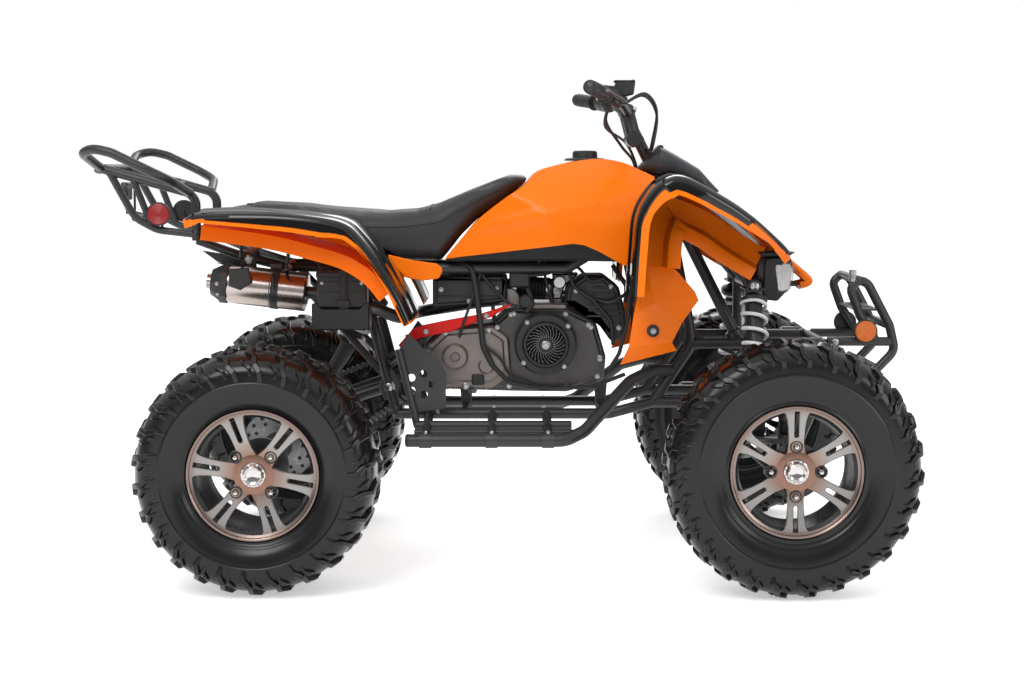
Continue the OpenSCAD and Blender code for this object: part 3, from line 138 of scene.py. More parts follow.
def mirrored(shape):
    """The same shape on the other side of the centre plane: y becomes -y, faces turned round."""
    points, faces = shape
    return points * (1, -1, 1), [f[:, ::-1] for f in faces]


def both(*shapes):
    """Each shape and its mirror image."""
    return [s for shape in shapes for s in (shape, mirrored(shape))]


def smooth_curve(points, count):
    """Catmull-Rom spline: between two points the curve is the cubic whose slope at each is
    half the step from its neighbour before to its neighbour after."""
    p = np.asarray(points, float)
    p = np.vstack([2 * p[0] - p[1], p, 2 * p[-1] - p[-2]])
    u = np.linspace(0, len(p) - 3, count)
    i = np.minimum(u.astype(int), len(p) - 4)
    t = (u - i)[:, None]
    a, b, c, d = p[i], p[i + 1], p[i + 2], p[i + 3]
    return 0.5 * (2 * b + (c - a) * t + (2 * a - 5 * b + 4 * c - d) * t**2
                  + (3 * b - a - 3 * c + d) * t**3)


def rounded(points, bend, steps=7):
    """A bent line: each corner becomes the curve (1-t)^2 a + 2t(1-t) corner + t^2 b, where a and
    b lie on its two legs at bend * tan(half the turn)."""
    p = np.asarray(points, float)
    out = [p[:1]]
    t = np.linspace(0, 1, steps)[:, None]
    for before, corner, after in zip(p[:-2], p[1:-1], p[2:]):
        u, v = unit(before - corner), unit(after - corner)
        half = 0.5 * math.acos(np.clip(-u @ v, -1, 1))
        room = 0.48 * min(np.linalg.norm(before - corner), np.linalg.norm(after - corner))
        cut = min(bend * math.tan(half) + 0.5, room)
        a, b = corner + u * cut, corner + v * cut
        out.append((1 - t) ** 2 * a + 2 * t * (1 - t) * corner + t**2 * b)
    return np.vstack(out + [p[-1:]])


def side_vectors(path):
    """Two unit vectors across a path, carried along it without twist: each is the one before
    with its part along the new direction taken away."""
    along = unit(np.gradient(path, axis=0))
    across = np.zeros_like(path)
    v = np.cross(along[0], UP if abs(along[0][2]) < 0.9 else AHEAD)
    for i, direction in enumerate(along):
        v = unit(v - (v @ direction) * direction)
        across[i] = v
    return across, np.cross(along, across)


def sweep(path, radius, sides=14, squash=1.0):
    """A tube: path + radius * (cos a * across + sin a * over), its ends slightly rounded."""
    path = np.asarray(path, float)
    across, over = side_vectors(path)
    a = np.linspace(0, 2 * np.pi, sides, endpoint=False)
    r = np.broadcast_to(np.asarray(radius, float), (len(path),))[:, None, None]
    ring = np.cos(a)[None, :, None] * across[:, None] + squash * np.sin(a)[None, :, None] * over[:, None]
    body = path[:, None] + r * ring
    lead = 0.12 * r[0, 0, 0]
    ends = [path[0] + unit(path[0] - path[1]) * lead, path[-1] + unit(path[-1] - path[-2]) * lead]
    first = ends[0] + 0.85 * r[0] * ring[0]
    last = ends[1] + 0.85 * r[-1] * ring[-1]
    return grid(np.concatenate([first[None], body, last[None]]), wrap_v=True, caps=True)


def pipe(points, d, bend=45, sides=14):
    """A bent tube of outer diameter d along a line of corner points."""
    points = np.asarray(points, float)
    path = rounded(points, bend) if len(points) > 2 else points
    return sweep(path, d / 2, sides)


def turned(profile, start, direction=LEFT, sides=40, loop=False):
    """A lathe piece: start + along * direction + radius * (cos a * p + sin a * q), for each
    (along, radius) of the profile; a loop profile closes on itself, others get end caps."""
    w = unit(direction)
    p = unit(np.cross(w, UP if abs(w[2]) < 0.9 else AHEAD))
    q = np.cross(w, p)
    a = np.linspace(0, 2 * np.pi, sides, endpoint=False)
    profile = np.asarray(profile, float)
    ring = np.cos(a)[:, None] * p + np.sin(a)[:, None] * q
    points = np.asarray(start, float) + profile[:, :1, None] * w + profile[:, 1:, None] * ring[None]
    return grid(points, wrap_u=loop, wrap_v=True, caps=not loop)


def inset(outline, distance):
    """A closed outline moved inwards: each corner moves along the mean of its two edge normals,
    lengthened so that both edges keep the distance."""
    p = np.asarray(outline, float)
    edge = unit(np.roll(p, -1, 0) - p)
    normal = np.stack([-edge[:, 1], edge[:, 0]], 1)
    area = np.sum(p[:, 0] * np.roll(p[:, 1], -1) - np.roll(p[:, 0], -1) * p[:, 1])
    normal *= np.sign(area)
    mean = unit(normal + np.roll(normal, 1, 0))
    stretch = np.maximum(np.sum(mean * normal, 1, keepdims=True), 0.5)
    return p + mean * distance / stretch


def slab(outline, low, high, bevel=1.5, axis=1):
    """A plate: its outline at two depths, with the rim chamfered by an inset at each face."""
    small = inset(outline, bevel)
    rings = [(small, low), (np.asarray(outline, float), low + bevel),
             (np.asarray(outline, float), high - bevel), (small, high)]
    stack = np.array([np.insert(ring, axis, depth, axis=1) for ring, depth in rings])
    return grid(stack, wrap_v=True, caps=True)


def block(low, high, bevel=2.0, axis=1):
    """A box with chamfered edges on two faces."""
    low, high = np.asarray(low, float), np.asarray(high, float)
    u, v = [i for i in range(3) if i != axis]
    corners = [[low[u], low[v]], [high[u], low[v]], [high[u], high[v]], [low[u], high[v]]]
    corners = np.vstack([
        [c + unit(np.asarray(d) - c) * bevel, c + unit(np.asarray(e) - c) * bevel]
        for d, c, e in zip(np.roll(corners, 1, 0), np.asarray(corners, float), np.roll(corners, -1, 0))
    ])
    return slab(corners, low[axis], high[axis], bevel, axis)


def bolt(at, direction, d=13, h=7):
    """A flanged hexagon screw: a thin turned washer under a six-sided turned head."""
    washer = turned([(-1, d * 0.7), (1.4, d * 0.7), (2, d * 0.62)], at, direction, 20)
    head = turned([(1.8, d * 0.5), (h - 1, d * 0.5), (h, d * 0.4)], at, direction, 6)
    return merge([washer, head])


def coil(start, end, radius, wire, turns, sides=8):
    """A spring: a helix of the given radius round the line from start to end, closed at its
    ends by half a turn without pitch."""
    start, end = np.asarray(start, float), np.asarray(end, float)
    w = unit(end - start)
    p = unit(np.cross(w, AHEAD))
    q = np.cross(w, p)
    t = np.linspace(0, 1, int(turns * 20))
    rise = np.clip((t * turns - 0.5) / (turns - 1), 0, 1)[:, None] * np.linalg.norm(end - start)
    a = (t * turns * 2 * np.pi)[:, None]
    return sweep(start + w * rise + radius * (np.cos(a) * p + np.sin(a) * q), wire / 2, sides)


print("shape helpers ready")

# %% [markdown]
# The last helper puts a shape into a mesh. It recalculates the normals, so a mirrored or
# turned shape can't end up inside out, shades smooth up to an angle, hangs the piece on the
# body it rides on, hides the CAD nodes it stands in for and gives it its finishes.
# %% Put a shape into a piece


def make(name, parts, body, nodes=(), angle=35, marks=None):
    """Makes one object from {material: [shapes]}; marks is an optional function of the points
    in metres that gives a value kept with every point."""
    mesh = bpy.data.meshes.new(name)
    joined = [merge(shapes) for shapes in parts.values()]
    points, faces = merge(joined)
    rows = [f.tolist() for f in faces]
    mesh.from_pydata(place(points).tolist(), [], [row for group in rows for row in group])
    counts = [sum(len(f) for f in shape[1]) for shape in joined]
    for material in parts:
        mesh.materials.append(material)
    mesh.polygons.foreach_set("material_index", np.repeat(np.arange(len(counts)), counts))
    work = bmesh.new()
    work.from_mesh(mesh)
    bmesh.ops.recalc_face_normals(work, faces=work.faces)
    work.to_mesh(mesh)
    work.free()
    mesh.shade_smooth()
    mesh.set_sharp_from_angle(angle=math.radians(angle))
    if marks:
        mesh.attributes.new("mark", "FLOAT", "POINT").data.foreach_set("value", marks(points))
    mesh.update()
    piece = bpy.data.objects.new(name, mesh)
    bpy.context.scene.collection.objects.link(piece)
    if nodes:
        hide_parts(*nodes)
    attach(piece, body)
    print(f"{name}: {len(mesh.polygons)} faces")
    return piece


print("mesh helper ready")

# %% [markdown]
# Real finishes are never one flat colour. A moulded panel has faint tone and gloss changes,
# a cast case has grain, a painted tube is rubbed along its edges. These effects are shared
# by most materials, so each is a node group that gives colours and values, while the
# Principled shader stays in the material where its plain settings can be exported.
# %% Node groups for shared effects


def new_group(name, inputs, outputs):
    """An empty shader group with its sockets and its two end nodes."""
    group = bpy.data.node_groups.new(name, "ShaderNodeTree")
    for label, kind, value in inputs:
        group.interface.new_socket(label, in_out="INPUT", socket_type=kind).default_value = value
    for label, kind in outputs:
        group.interface.new_socket(label, in_out="OUTPUT", socket_type=kind)
    return group, group.nodes.new("NodeGroupInput").outputs, group.nodes.new("NodeGroupOutput").inputs


def node(tree, kind, inputs=(), **settings):
    """Adds one node, sets its properties, and fills its inputs with values or links."""
    made = tree.nodes.new("ShaderNode" + kind)
    for key, value in settings.items():
        setattr(made, key, value)
    for key, value in dict(inputs).items():
        if isinstance(value, bpy.types.NodeSocket):
            tree.links.new(value, made.inputs[key])
        else:
            made.inputs[key].default_value = value
    return made


def maths(tree, operation, a, b=0.0, c=0.0, clamp=False):
    """One Math node: operation on a, b and c."""
    return node(tree, "Math", {0: a, 1: b, 2: c}, operation=operation, use_clamp=clamp).outputs[0]


COLOUR, VALUE = "NodeSocketColor", "NodeSocketFloat"

skin, skin_in, skin_out = new_group(
    "surface_skin",
    [("Colour", COLOUR, (0.5, 0.5, 0.5, 1)), ("Worn Colour", COLOUR, (0.7, 0.7, 0.7, 1)),
     ("Tone", VALUE, 0.1), ("Roughness", VALUE, 0.5), ("Spread", VALUE, 0.1),
     ("Patch Scale", VALUE, 9.0), ("Grain Scale", VALUE, 400.0), ("Wear", VALUE, 0.0)],
    [("Colour", COLOUR), ("Roughness", VALUE), ("Height", VALUE), ("Wear", VALUE)])
where = node(skin, "TexCoord").outputs["Object"]
patch = node(skin, "TexNoise", {"Vector": where, "Scale": skin_in["Patch Scale"], "Detail": 4.0}).outputs[0]
grain = node(skin, "TexNoise", {"Vector": where, "Scale": skin_in["Grain Scale"], "Detail": 3.0}).outputs[0]
edge = maths(skin, "MULTIPLY_ADD", node(skin, "NewGeometry").outputs["Pointiness"], 9.0, -4.72, True)
wear = maths(skin, "MULTIPLY", maths(skin, "MULTIPLY", edge, skin_in["Wear"]), patch, 0, True)
centred = maths(skin, "SUBTRACT", patch, 0.5)
tone = maths(skin, "MULTIPLY_ADD", centred, skin_in["Tone"], 1.0)
toned = node(skin, "VectorMath", {0: skin_in["Colour"], "Scale": tone}, operation="SCALE").outputs[0]
mixed = node(skin, "Mix", {0: wear, 6: toned, 7: skin_in["Worn Colour"]}, data_type="RGBA")
skin.links.new(mixed.outputs[2], skin_out["Colour"])
skin.links.new(maths(skin, "MULTIPLY_ADD", centred, skin_in["Spread"], skin_in["Roughness"], True),
               skin_out["Roughness"])
skin.links.new(grain, skin_out["Height"])
skin.links.new(wear, skin_out["Wear"])

lines, lines_in, lines_out = new_group(
    "brushed_lines",
    [("Vector", "NodeSocketVector", (0, 0, 0)), ("Scale", VALUE, 60.0)], [("Value", VALUE)])
streak = node(lines, "TexNoise", {"Vector": lines_in["Vector"], "Scale": lines_in["Scale"], "Detail": 6.0})
lines.links.new(streak.outputs[0], lines_out["Value"])
print("node groups:", [g.name for g in bpy.data.node_groups])

# %% [markdown]
# A finish is one material built on the skin group. The colour is written as it looks in
# neutral light; roughness, bump and wear are what separate satin paint from gloss plastic.
# %% A finish from the skin group


def finish(name, colour, rough, metallic=0.0, tone=0.12, spread=0.12, patches=9.0, grain=400.0,
           bump=0.05, depth=0.0004, wear=0.0, worn=(0.6, 0.6, 0.6), **plain):
    """A Principled material fed by the skin group, with plain settings on its own sockets."""
    material = bpy.data.materials.new(name)
    material.use_nodes = True
    tree = material.node_tree
    shader = tree.nodes["Principled BSDF"]
    group = node(tree, "Group", node_tree=skin)
    values = {"Colour": (*colour, 1), "Worn Colour": (*worn, 1), "Tone": tone, "Roughness": rough,
              "Spread": spread, "Patch Scale": patches, "Grain Scale": grain, "Wear": wear}
    for key, value in values.items():
        group.inputs[key].default_value = value
    bumped = node(tree, "Bump", {"Strength": bump, "Distance": depth, "Height": group.outputs["Height"]})
    tree.links.new(group.outputs["Colour"], shader.inputs["Base Color"])
    tree.links.new(group.outputs["Roughness"], shader.inputs["Roughness"])
    tree.links.new(bumped.outputs[0], shader.inputs["Normal"])
    shader.inputs["Metallic"].default_value = metallic
    for key, value in plain.items():
        shader.inputs[key.replace("_", " ")].default_value = value
    return material


frame_paint = finish("frame_paint", (0.018, 0.018, 0.02), 0.38, bump=0.08, wear=0.25, worn=(0.12, 0.12, 0.12))
orange_panel = finish("orange_panel", (1.0, 0.185, 0.0), 0.3, tone=0.05, spread=0.1, bump=0.02,
                      Specular_IOR_Level=0.22, Coat_Weight=0.06, Coat_Roughness=0.1)
black_panel = finish("black_panel", (0.004, 0.004, 0.0045), 0.12, tone=0.1, spread=0.08, bump=0.01,
                     Specular_IOR_Level=0.35, Coat_Weight=0.25, Coat_Roughness=0.05)
black_plastic = finish("black_plastic", (0.014, 0.014, 0.015), 0.5, grain=900.0, bump=0.15, spread=0.2)
cowl_plastic = finish("cowl_plastic", (0.03, 0.032, 0.036), 0.42, grain=900.0, bump=0.12)
rubber = finish("rubber", (0.012, 0.012, 0.012), 0.55, grain=300.0, bump=0.2, spread=0.25)
tyre_rubber = finish("tyre_rubber", (0.004, 0.004, 0.004), 0.25, tone=0.4, spread=0.22, patches=14.0,
                     grain=260.0, bump=0.1, Specular_IOR_Level=0.38)
cast_metal = finish("cast_metal", (0.17, 0.17, 0.175), 0.4, 1.0, tone=0.5, spread=0.3, patches=30.0,
                    grain=500.0, bump=0.45, depth=0.0006, wear=0.5, worn=(0.7, 0.7, 0.7))
dark_metal = finish("dark_metal", (0.09, 0.09, 0.095), 0.42, 1.0, tone=0.5, spread=0.3, patches=25.0,
                    bump=0.3, wear=0.6, worn=(0.4, 0.4, 0.4))
zinc = finish("zinc", (0.38, 0.38, 0.39), 0.3, 1.0, tone=0.25, spread=0.25, patches=40.0, bump=0.1,
              wear=0.3, worn=(0.8, 0.8, 0.8))
chrome = finish("chrome", (0.55, 0.53, 0.52), 0.1, 1.0, tone=0.05, spread=0.05, bump=0.01)
white_paint = finish("white_paint", (0.78, 0.78, 0.79), 0.26, tone=0.06, spread=0.15, bump=0.03,
                     wear=0.3, worn=(0.5, 0.5, 0.5), Coat_Weight=0.3)
red_paint = finish("red_paint", (0.62, 0.01, 0.008), 0.32, tone=0.25, bump=0.05, Specular_IOR_Level=0.25)
print(len(bpy.data.materials), "finishes so far")
# %% [markdown]
# ## Camera, floor and light
# The vehicle stands side on, seen from a few metres away at handlebar height through a
# fairly long lens. A white room with one large soft lamp above keeps the colours plain and
# leaves a soft shadow that grounds the tyres.
# %% Camera
camera_data = bpy.data.cameras.new("camera")
camera = bpy.data.objects.new("camera", camera_data)
bpy.context.scene.collection.objects.link(camera)
bpy.context.scene.camera = camera
camera_data.lens, camera_data.sensor_width = 62.7, 36.0
camera.location = (567 * MM + ORIGIN[0], -4.378, 0.938)
camera.rotation_euler = (math.pi / 2 - 0.0953, 0, 0)

# %% White room: floor, world and lamps
scene = bpy.context.scene
scene.view_settings.view_transform = "Standard"
world = bpy.data.worlds.new("white_room")
scene.world = world
world.use_nodes = True
tree = world.node_tree
rays = node(tree, "LightPath").outputs
seen = maths(tree, "MAXIMUM", rays["Is Camera Ray"], rays["Is Transmission Ray"])
height = node(tree, "SeparateXYZ", {0: node(tree, "TexCoord").outputs["Generated"]}).outputs[2]
sky = node(tree, "MapRange", {0: height, 1: -0.1, 2: 0.75, 3: 0.1, 4: 1.05}).outputs[0]
strength = node(tree, "Mix", {0: seen, 2: sky, 3: 1.0}).outputs[0]
background = tree.nodes["Background"]
background.inputs["Color"].default_value = (1, 1, 1, 1)
tree.links.new(strength, background.inputs["Strength"])

floor_mesh = bpy.data.meshes.new("floor")
floor_mesh.from_pydata([(-30, -12, 0), (30, -12, 0), (30, 40, 0), (-30, 40, 0)], [], [(0, 1, 2, 3)])
floor = bpy.data.objects.new("floor", floor_mesh)
scene.collection.objects.link(floor)
floor_paint = bpy.data.materials.new("floor_paint")
floor_paint.use_nodes = True
floor_paint.node_tree.nodes["Principled BSDF"].inputs["Base Color"].default_value = (0.93, 0.93, 0.93, 1)
floor_paint.node_tree.nodes["Principled BSDF"].inputs["Roughness"].default_value = 0.9
floor_paint.node_tree.nodes["Principled BSDF"].inputs["Specular IOR Level"].default_value = 0.1
floor_tree = floor_paint.node_tree
floor_rays = node(floor_tree, "LightPath").outputs
own_light = maths(floor_tree, "MULTIPLY", maths(floor_tree, "MAXIMUM", floor_rays["Is Camera Ray"],
                                                floor_rays["Is Glossy Ray"]), 0.46)
floor_shader = floor_tree.nodes["Principled BSDF"]
floor_shader.inputs["Emission Color"].default_value = (1, 1, 1, 1)
floor_tree.links.new(own_light, floor_shader.inputs["Emission Strength"])
floor_mesh.materials.append(floor_paint)
floor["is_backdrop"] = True


def lamp(name, spot, aim, size, power):
    """A square soft lamp at a spot, turned to face what it lights."""
    light = bpy.data.lights.new(name, "AREA")
    light.size, light.energy = size, power
    lit = bpy.data.objects.new(name, light)
    lit.location = spot
    direction = np.array(aim, float) - np.array(spot, float)
    lit.rotation_euler = (math.atan2(math.hypot(direction[0], direction[1]), -direction[2]), 0,
                          math.atan2(direction[1], direction[0]) - math.pi / 2)
    scene.collection.objects.link(lit)


lamp("key_lamp", (-1.6, -3.4, 3.6), (0, 0, 0.5), 2.2, 92)
lamp("side_lamp", (3.4, -3.0, 1.6), (0.3, 0, 0.5), 1.6, 30)
lamp("back_lamp", (0.5, 3.6, 3.2), (0, 0, 0.6), 2.2, 60)
print("camera, floor and three lamps placed")

# %% [markdown]
# ## Cast wheels
# Each wheel is one casting: a barrel, two lips and six spokes that fork into two bars
# towards the outer lip. The front face is turned bare on a lathe, so it is bright with fine
# rings and a warm clear tint near the hub and the lip, while the pockets stay black.
# The lathe parts are profiles carried round the axle; a spoke is a forked outline with
# depth, placed six times by rotation.
# %% Wheel finishes
LIP_R = 144.0


def wheel_reach(hub_x, hub_z):
    """Distance of each point from the wheel's axle as a share of the lip radius."""
    return lambda p: (np.hypot(p[:, 0] - hub_x, p[:, 2] - hub_z) / LIP_R).astype(np.float32)


machined = bpy.data.materials.new("machined_wheel")
machined.use_nodes = True
tree = machined.node_tree
shader = tree.nodes["Principled BSDF"]
reach = node(tree, "Attribute", attribute_name="mark").outputs["Fac"]
ramp = node(tree, "ValToRGB", {"Fac": reach})
stops = [(0.0, (0.27, 0.14, 0.103)), (0.3, (0.235, 0.136, 0.104)), (0.42, (0.274, 0.206, 0.175)),
         (0.56, (0.294, 0.283, 0.275)), (0.86, (0.27, 0.258, 0.25)), (0.96, (0.226, 0.169, 0.148))]
for _ in range(len(stops) - 2):
    ramp.color_ramp.elements.new(0.5)
for element, (position, colour) in zip(ramp.color_ramp.elements, stops):
    element.position, element.color = position, (*colour, 1)
rings = node(tree, "CombineXYZ", {"X": reach})
turned_rings = node(tree, "Group", {"Vector": rings.outputs[0], "Scale": 160.0}, node_tree=lines)
group = node(tree, "Group", node_tree=skin)
tree.links.new(ramp.outputs[0], group.inputs["Colour"])
for key, value in {"Tone": 0.15, "Roughness": 0.27, "Spread": 0.15, "Patch Scale": 18.0}.items():
    group.inputs[key].default_value = value
ring_bump = node(tree, "Bump", {"Strength": 0.25, "Distance": 0.0002, "Height": turned_rings.outputs[0]})
tree.links.new(group.outputs["Colour"], shader.inputs["Base Color"])
tree.links.new(group.outputs["Roughness"], shader.inputs["Roughness"])
tree.links.new(ring_bump.outputs[0], shader.inputs["Normal"])
shader.inputs["Metallic"].default_value = 1.0
# The same black is the wheels' own paint and, in the brake disc's drilled holes, painted shade.
pocket_black_and_hole_shade = finish("pocket_black_and_hole_shade", (0.012, 0.012, 0.013), 0.28, spread=0.2, bump=0.05)

# %% One cast wheel as arrays, its outer face towards +y


def polar(r, t, a):
    """Points of a spoke drawing: r out along the spoke, t across it, turned by a degrees."""
    a = np.radians(a)
    return np.stack([r * np.cos(a) - t * np.sin(a), r * np.sin(a) + t * np.cos(a)], -1)


def spoke(angle, face):
    """A forked spoke: its outline runs out along one edge, back down the slot, round its end,
    and home along the other edge. Its front falls away towards the hub in a shallow cone."""
    half = np.array([
        [30, 23], [45, 20], [60, 17.5], [78, 17.5], [98, 19], [115, 21.5], [126, 25], [131, 30],
        [136, 40], [139, 40], [139, 5.2], [128, 4.8], [104, 4.8], [80, 4.8], [76.5, 3.6], [75, 0]])
    outline = np.vstack([half, (half * (1, -1))[-2::-1]])
    xz = polar(outline[:, 0], outline[:, 1], angle)
    points, faces = slab(xz, face - 13, face, 1.4)
    r = np.hypot(points[:, 0], points[:, 2])
    points[:, 1] -= np.clip((132 - r) / 100, 0, 1) * 9
    return points, faces


def wheel(width, spokes_from, nuts_from):
    """Barrel, lips, spokes, hub, nuts and cap, sorted by finish."""
    y, face, drop = width / 2, width / 2 - 7, width / 2 - 22
    barrel = turned([(y - 3, 141), (y - 8, 137), (y - 18, 127), (y - 40, 124), (0, 119), (-y + 22, 126),
                     (-y + 7, 141), (-y, 144), (-y + 1, 146), (-y + 10, 142), (-y + 26, 130), (0, 123.5),
                     (y - 44, 128), (y - 26, 130), (y - 12, 141), (y - 3, 145.5)],
                    (0, 0, 0), sides=96, loop=True)
    lip = turned([(y - 4, 139), (y + 0.5, 140), (y + 2, 142), (y + 2, 145), (y, 146.6), (y - 4, 146.6),
                  (y - 8, 143), (y - 9, 134.5), (y - 6.4, 133.6)], (0, 0, 0), sides=120, loop=True)
    bright = [spoke(spokes_from + 60 * k, face) for k in range(6)]
    hub = turned([(drop - 20, 24), (drop - 20, 44), (drop + 4, 47), (drop + 7.5, 44), (drop + 8.5, 34),
                  (drop + 8.5, 24)], (0, 0, 0), sides=72, loop=True)
    pockets, nuts = [], []
    for k in range(4):
        a = math.radians(nuts_from + 90 * k)
        spot = np.array([55 * math.cos(a), drop + 2, 55 * math.sin(a)])
        pockets.append(turned([(-4, 14.5), (6.8, 14.5), (7.6, 13), (7.6, 10.6), (1, 9.4), (-4, 9.4)],
                              spot, sides=28, loop=True))
        nuts.append(turned([(-2, 8.4), (8, 8.4), (10.2, 6.8)], spot, sides=6))
        nuts.append(turned([(8, 6.6), (12.5, 6.2), (15.6, 4.4), (16.6, 1.6)], spot, sides=20))
    cap = turned([(drop, 27), (drop + 9, 28.5), (drop + 13, 27), (drop + 14, 24), (drop + 22, 21),
                  (drop + 27, 20), (drop + 28.5, 18), (drop + 27, 15.5), (drop + 20, 14), (drop + 18, 4)],
                 (0, 0, 0), sides=56)
    tooth = block((22, drop + 9, -3.4), (27.6, drop + 17, 3.4), 1.2)
    turns = [(np.array([[math.cos(a), 0, math.sin(a)], [0, 1, 0], [-math.sin(a), 0, math.cos(a)]]),
              np.zeros(3)) for a in np.radians(np.arange(8) * 45 + 22)]
    stem = turned([(-y + 10, 3), (-y + 10, 5), (-y + 42, 4)], (100, 0, 70), sides=10)
    return {"bright": [lip, hub, *bright], "black": [barrel, *pockets, stem],
            "chrome": [cap, copies(tooth, turns), *nuts]}


def by_facing(shapes, side=1):
    """Splits forked spokes' faces: those that face outwards are turned bright, the rest stay
    black. The facing of a quad is the sign of the y part of its diagonals' cross product."""
    bright, dark = [], []
    for points, faces in shapes:
        keep, rest = [], []
        for f in faces:
            p = points[f]
            normal = unit(np.cross(p[:, 2] - p[:, 0], p[:, -1] - p[:, 1]))
            front = np.abs(normal[:, 1]) > 0.35
            front &= p[:, :, 1].mean(1) > points[:, 1].mean()
            if f.shape[1] > 8:
                front = np.array([p[:, :, 1].mean() > points[:, 1].mean()])
            keep.append(f[front])
            rest.append(f[~front])
        bright.append((points, [k for k in keep if len(k)]))
        dark.append((points, [k for k in rest if len(k)]))
    return bright, dark


# %% The four wheels
WHEELS = {  # body, sides, hub x, hub z, centre plane, rim width, spokes, nuts, CAD nodes
    "rear_wheels": ("rear_axle", (1, -1), 0.0, REAR_HUB_Z, 422.5, 212.0, -10.0, 45.0, ["rear_rims"]),
    "front_wheel_near": ("front_wheel_right", (-1,), WHEELBASE, FRONT_HUB_Z, 476.5, 150.0, 30.0, 0.0,
                         ["front_rim_right"]),
    "front_wheel_far": ("front_wheel_left", (1,), WHEELBASE, FRONT_HUB_Z, 476.5, 150.0, 30.0, 0.0,
                        ["front_rim_left"]),
}
for name, (body, sides, hub_x, hub_z, plane, width, spokes_from, nuts_from, nodes) in WHEELS.items():
    made = wheel(width, spokes_from, nuts_from)
    front, dark = by_facing(made["bright"][2:])
    made["bright"] = made["bright"][:2] + front
    made["black"] += dark
    hub_metal = []
    if "front" in name:
        inner = width / 2 - 30
        hub_metal = [turned([(inner - 44, 13), (inner - 44, 27), (inner - 8, 29), (inner - 6, 60),
                             (inner, 62), (inner, 13)], (0, 0, 0), sides=40, loop=True)]
    parts = {}
    for key, material in (("bright", machined), ("black", pocket_black_and_hole_shade), ("chrome", chrome)):
        shapes = made[key] + (hub_metal if key == "black" else [])
        moved = [(p * (1, side, 1) + (hub_x, side * plane, hub_z), f) for side in sides for p, f in shapes]
        parts[material] = moved
    make(name, parts, body, nodes, 30, wheel_reach(hub_x, hub_z))

# %% [markdown]
# ## Knobbly tyres
# A balloon tyre is a smooth carcass with separate knobs. The shoulder knobs are long
# zig-zag bars that run over onto the sidewall, with shorter pairs across the crown. The
# carcass is one profile turned round the axle. Every knob is the same small grid laid on
# the carcass by arc length and angle, so hundreds of them are one array.
# %% Carcass profile and its arc length


def tyre_profile(d, width, rim_half):
    """Half profile from the crown to the bead as (y, r), smoothed, for the caller to join with its
    mirror; a fine moulded line stands on the sidewall."""
    r = d / 2 - 7
    half = smooth_curve([
        [0, r], [width * 0.17, r - 0.6], [width * 0.32, r - 5], [width * 0.43, r - 17],
        [width * 0.485, r * 0.875], [width * 0.498, r * 0.8], [width * 0.497, r * 0.74],
        [width * 0.48, r * 0.665], [width * 0.45, r * 0.61], [width * 0.42, r * 0.565],
        [rim_half + 3.5, 149.5], [rim_half - 4, 145.0]], 60)
    step = np.linalg.norm(np.diff(half, axis=0), axis=1)
    length = np.concatenate([[0], np.cumsum(step)])
    slope = unit(np.gradient(half, axis=0))
    normal = np.stack([-slope[:, 1], slope[:, 0]], 1)
    normal *= np.sign(normal[:, :1] * half[:, :1] + normal[:, 1:] * 0.3 + 1e-9)
    ring = np.exp(-((half[:, 1] - r * 0.765) / 1.6) ** 2) * 1.5
    ring += np.exp(-((half[:, 1] - r * 0.6) / 1.5) ** 2) * 1.0
    return half + normal * ring[:, None], normal, length


def knob(line, width, height, half, normal, length, hub_r):
    """One tread bar: for each point of its centre line (s along the carcass, t round it) four
    corners, base and top, left and right; it tapers to 0.8 of its width at the top."""
    line = rounded(np.asarray(line, float), 3, 4)
    across = unit(np.gradient(line, axis=0))[:, ::-1] * (1, -1)
    rise = np.array([-2.5, height - 1.4, height, height, height - 1.4, -2.5])
    spread = np.array([-0.56, -0.46, -0.34, 0.34, 0.46, 0.56]) * width
    st = line[:, None] + across[:, None] * spread[None, :, None]
    lift = np.broadcast_to(rise, st.shape[:2]).copy()
    lift[[0, -1]] = np.minimum(lift[[0, -1]], -2)
    s, t = st[..., 0], st[..., 1]
    side = np.where(s < 0, -1, 1)
    place_on = [np.interp(np.abs(s), length, c) for c in (*half.T, *normal.T)]
    y = (place_on[0] + place_on[2] * lift) * side
    r = place_on[1] + place_on[3] * lift
    a = t / hub_r
    return grid(np.stack([r * np.sin(a), y, r * np.cos(a)], -1), wrap_v=True, caps=True)


def turns_about_axle(count, offset=0.0):
    """The rotations about the axle that place a pattern count times."""
    return [(np.array([[math.cos(a), 0, math.sin(a)], [0, 1, 0], [-math.sin(a), 0, math.cos(a)]]),
             np.zeros(3)) for a in (np.arange(count) + offset) * 2 * np.pi / count]


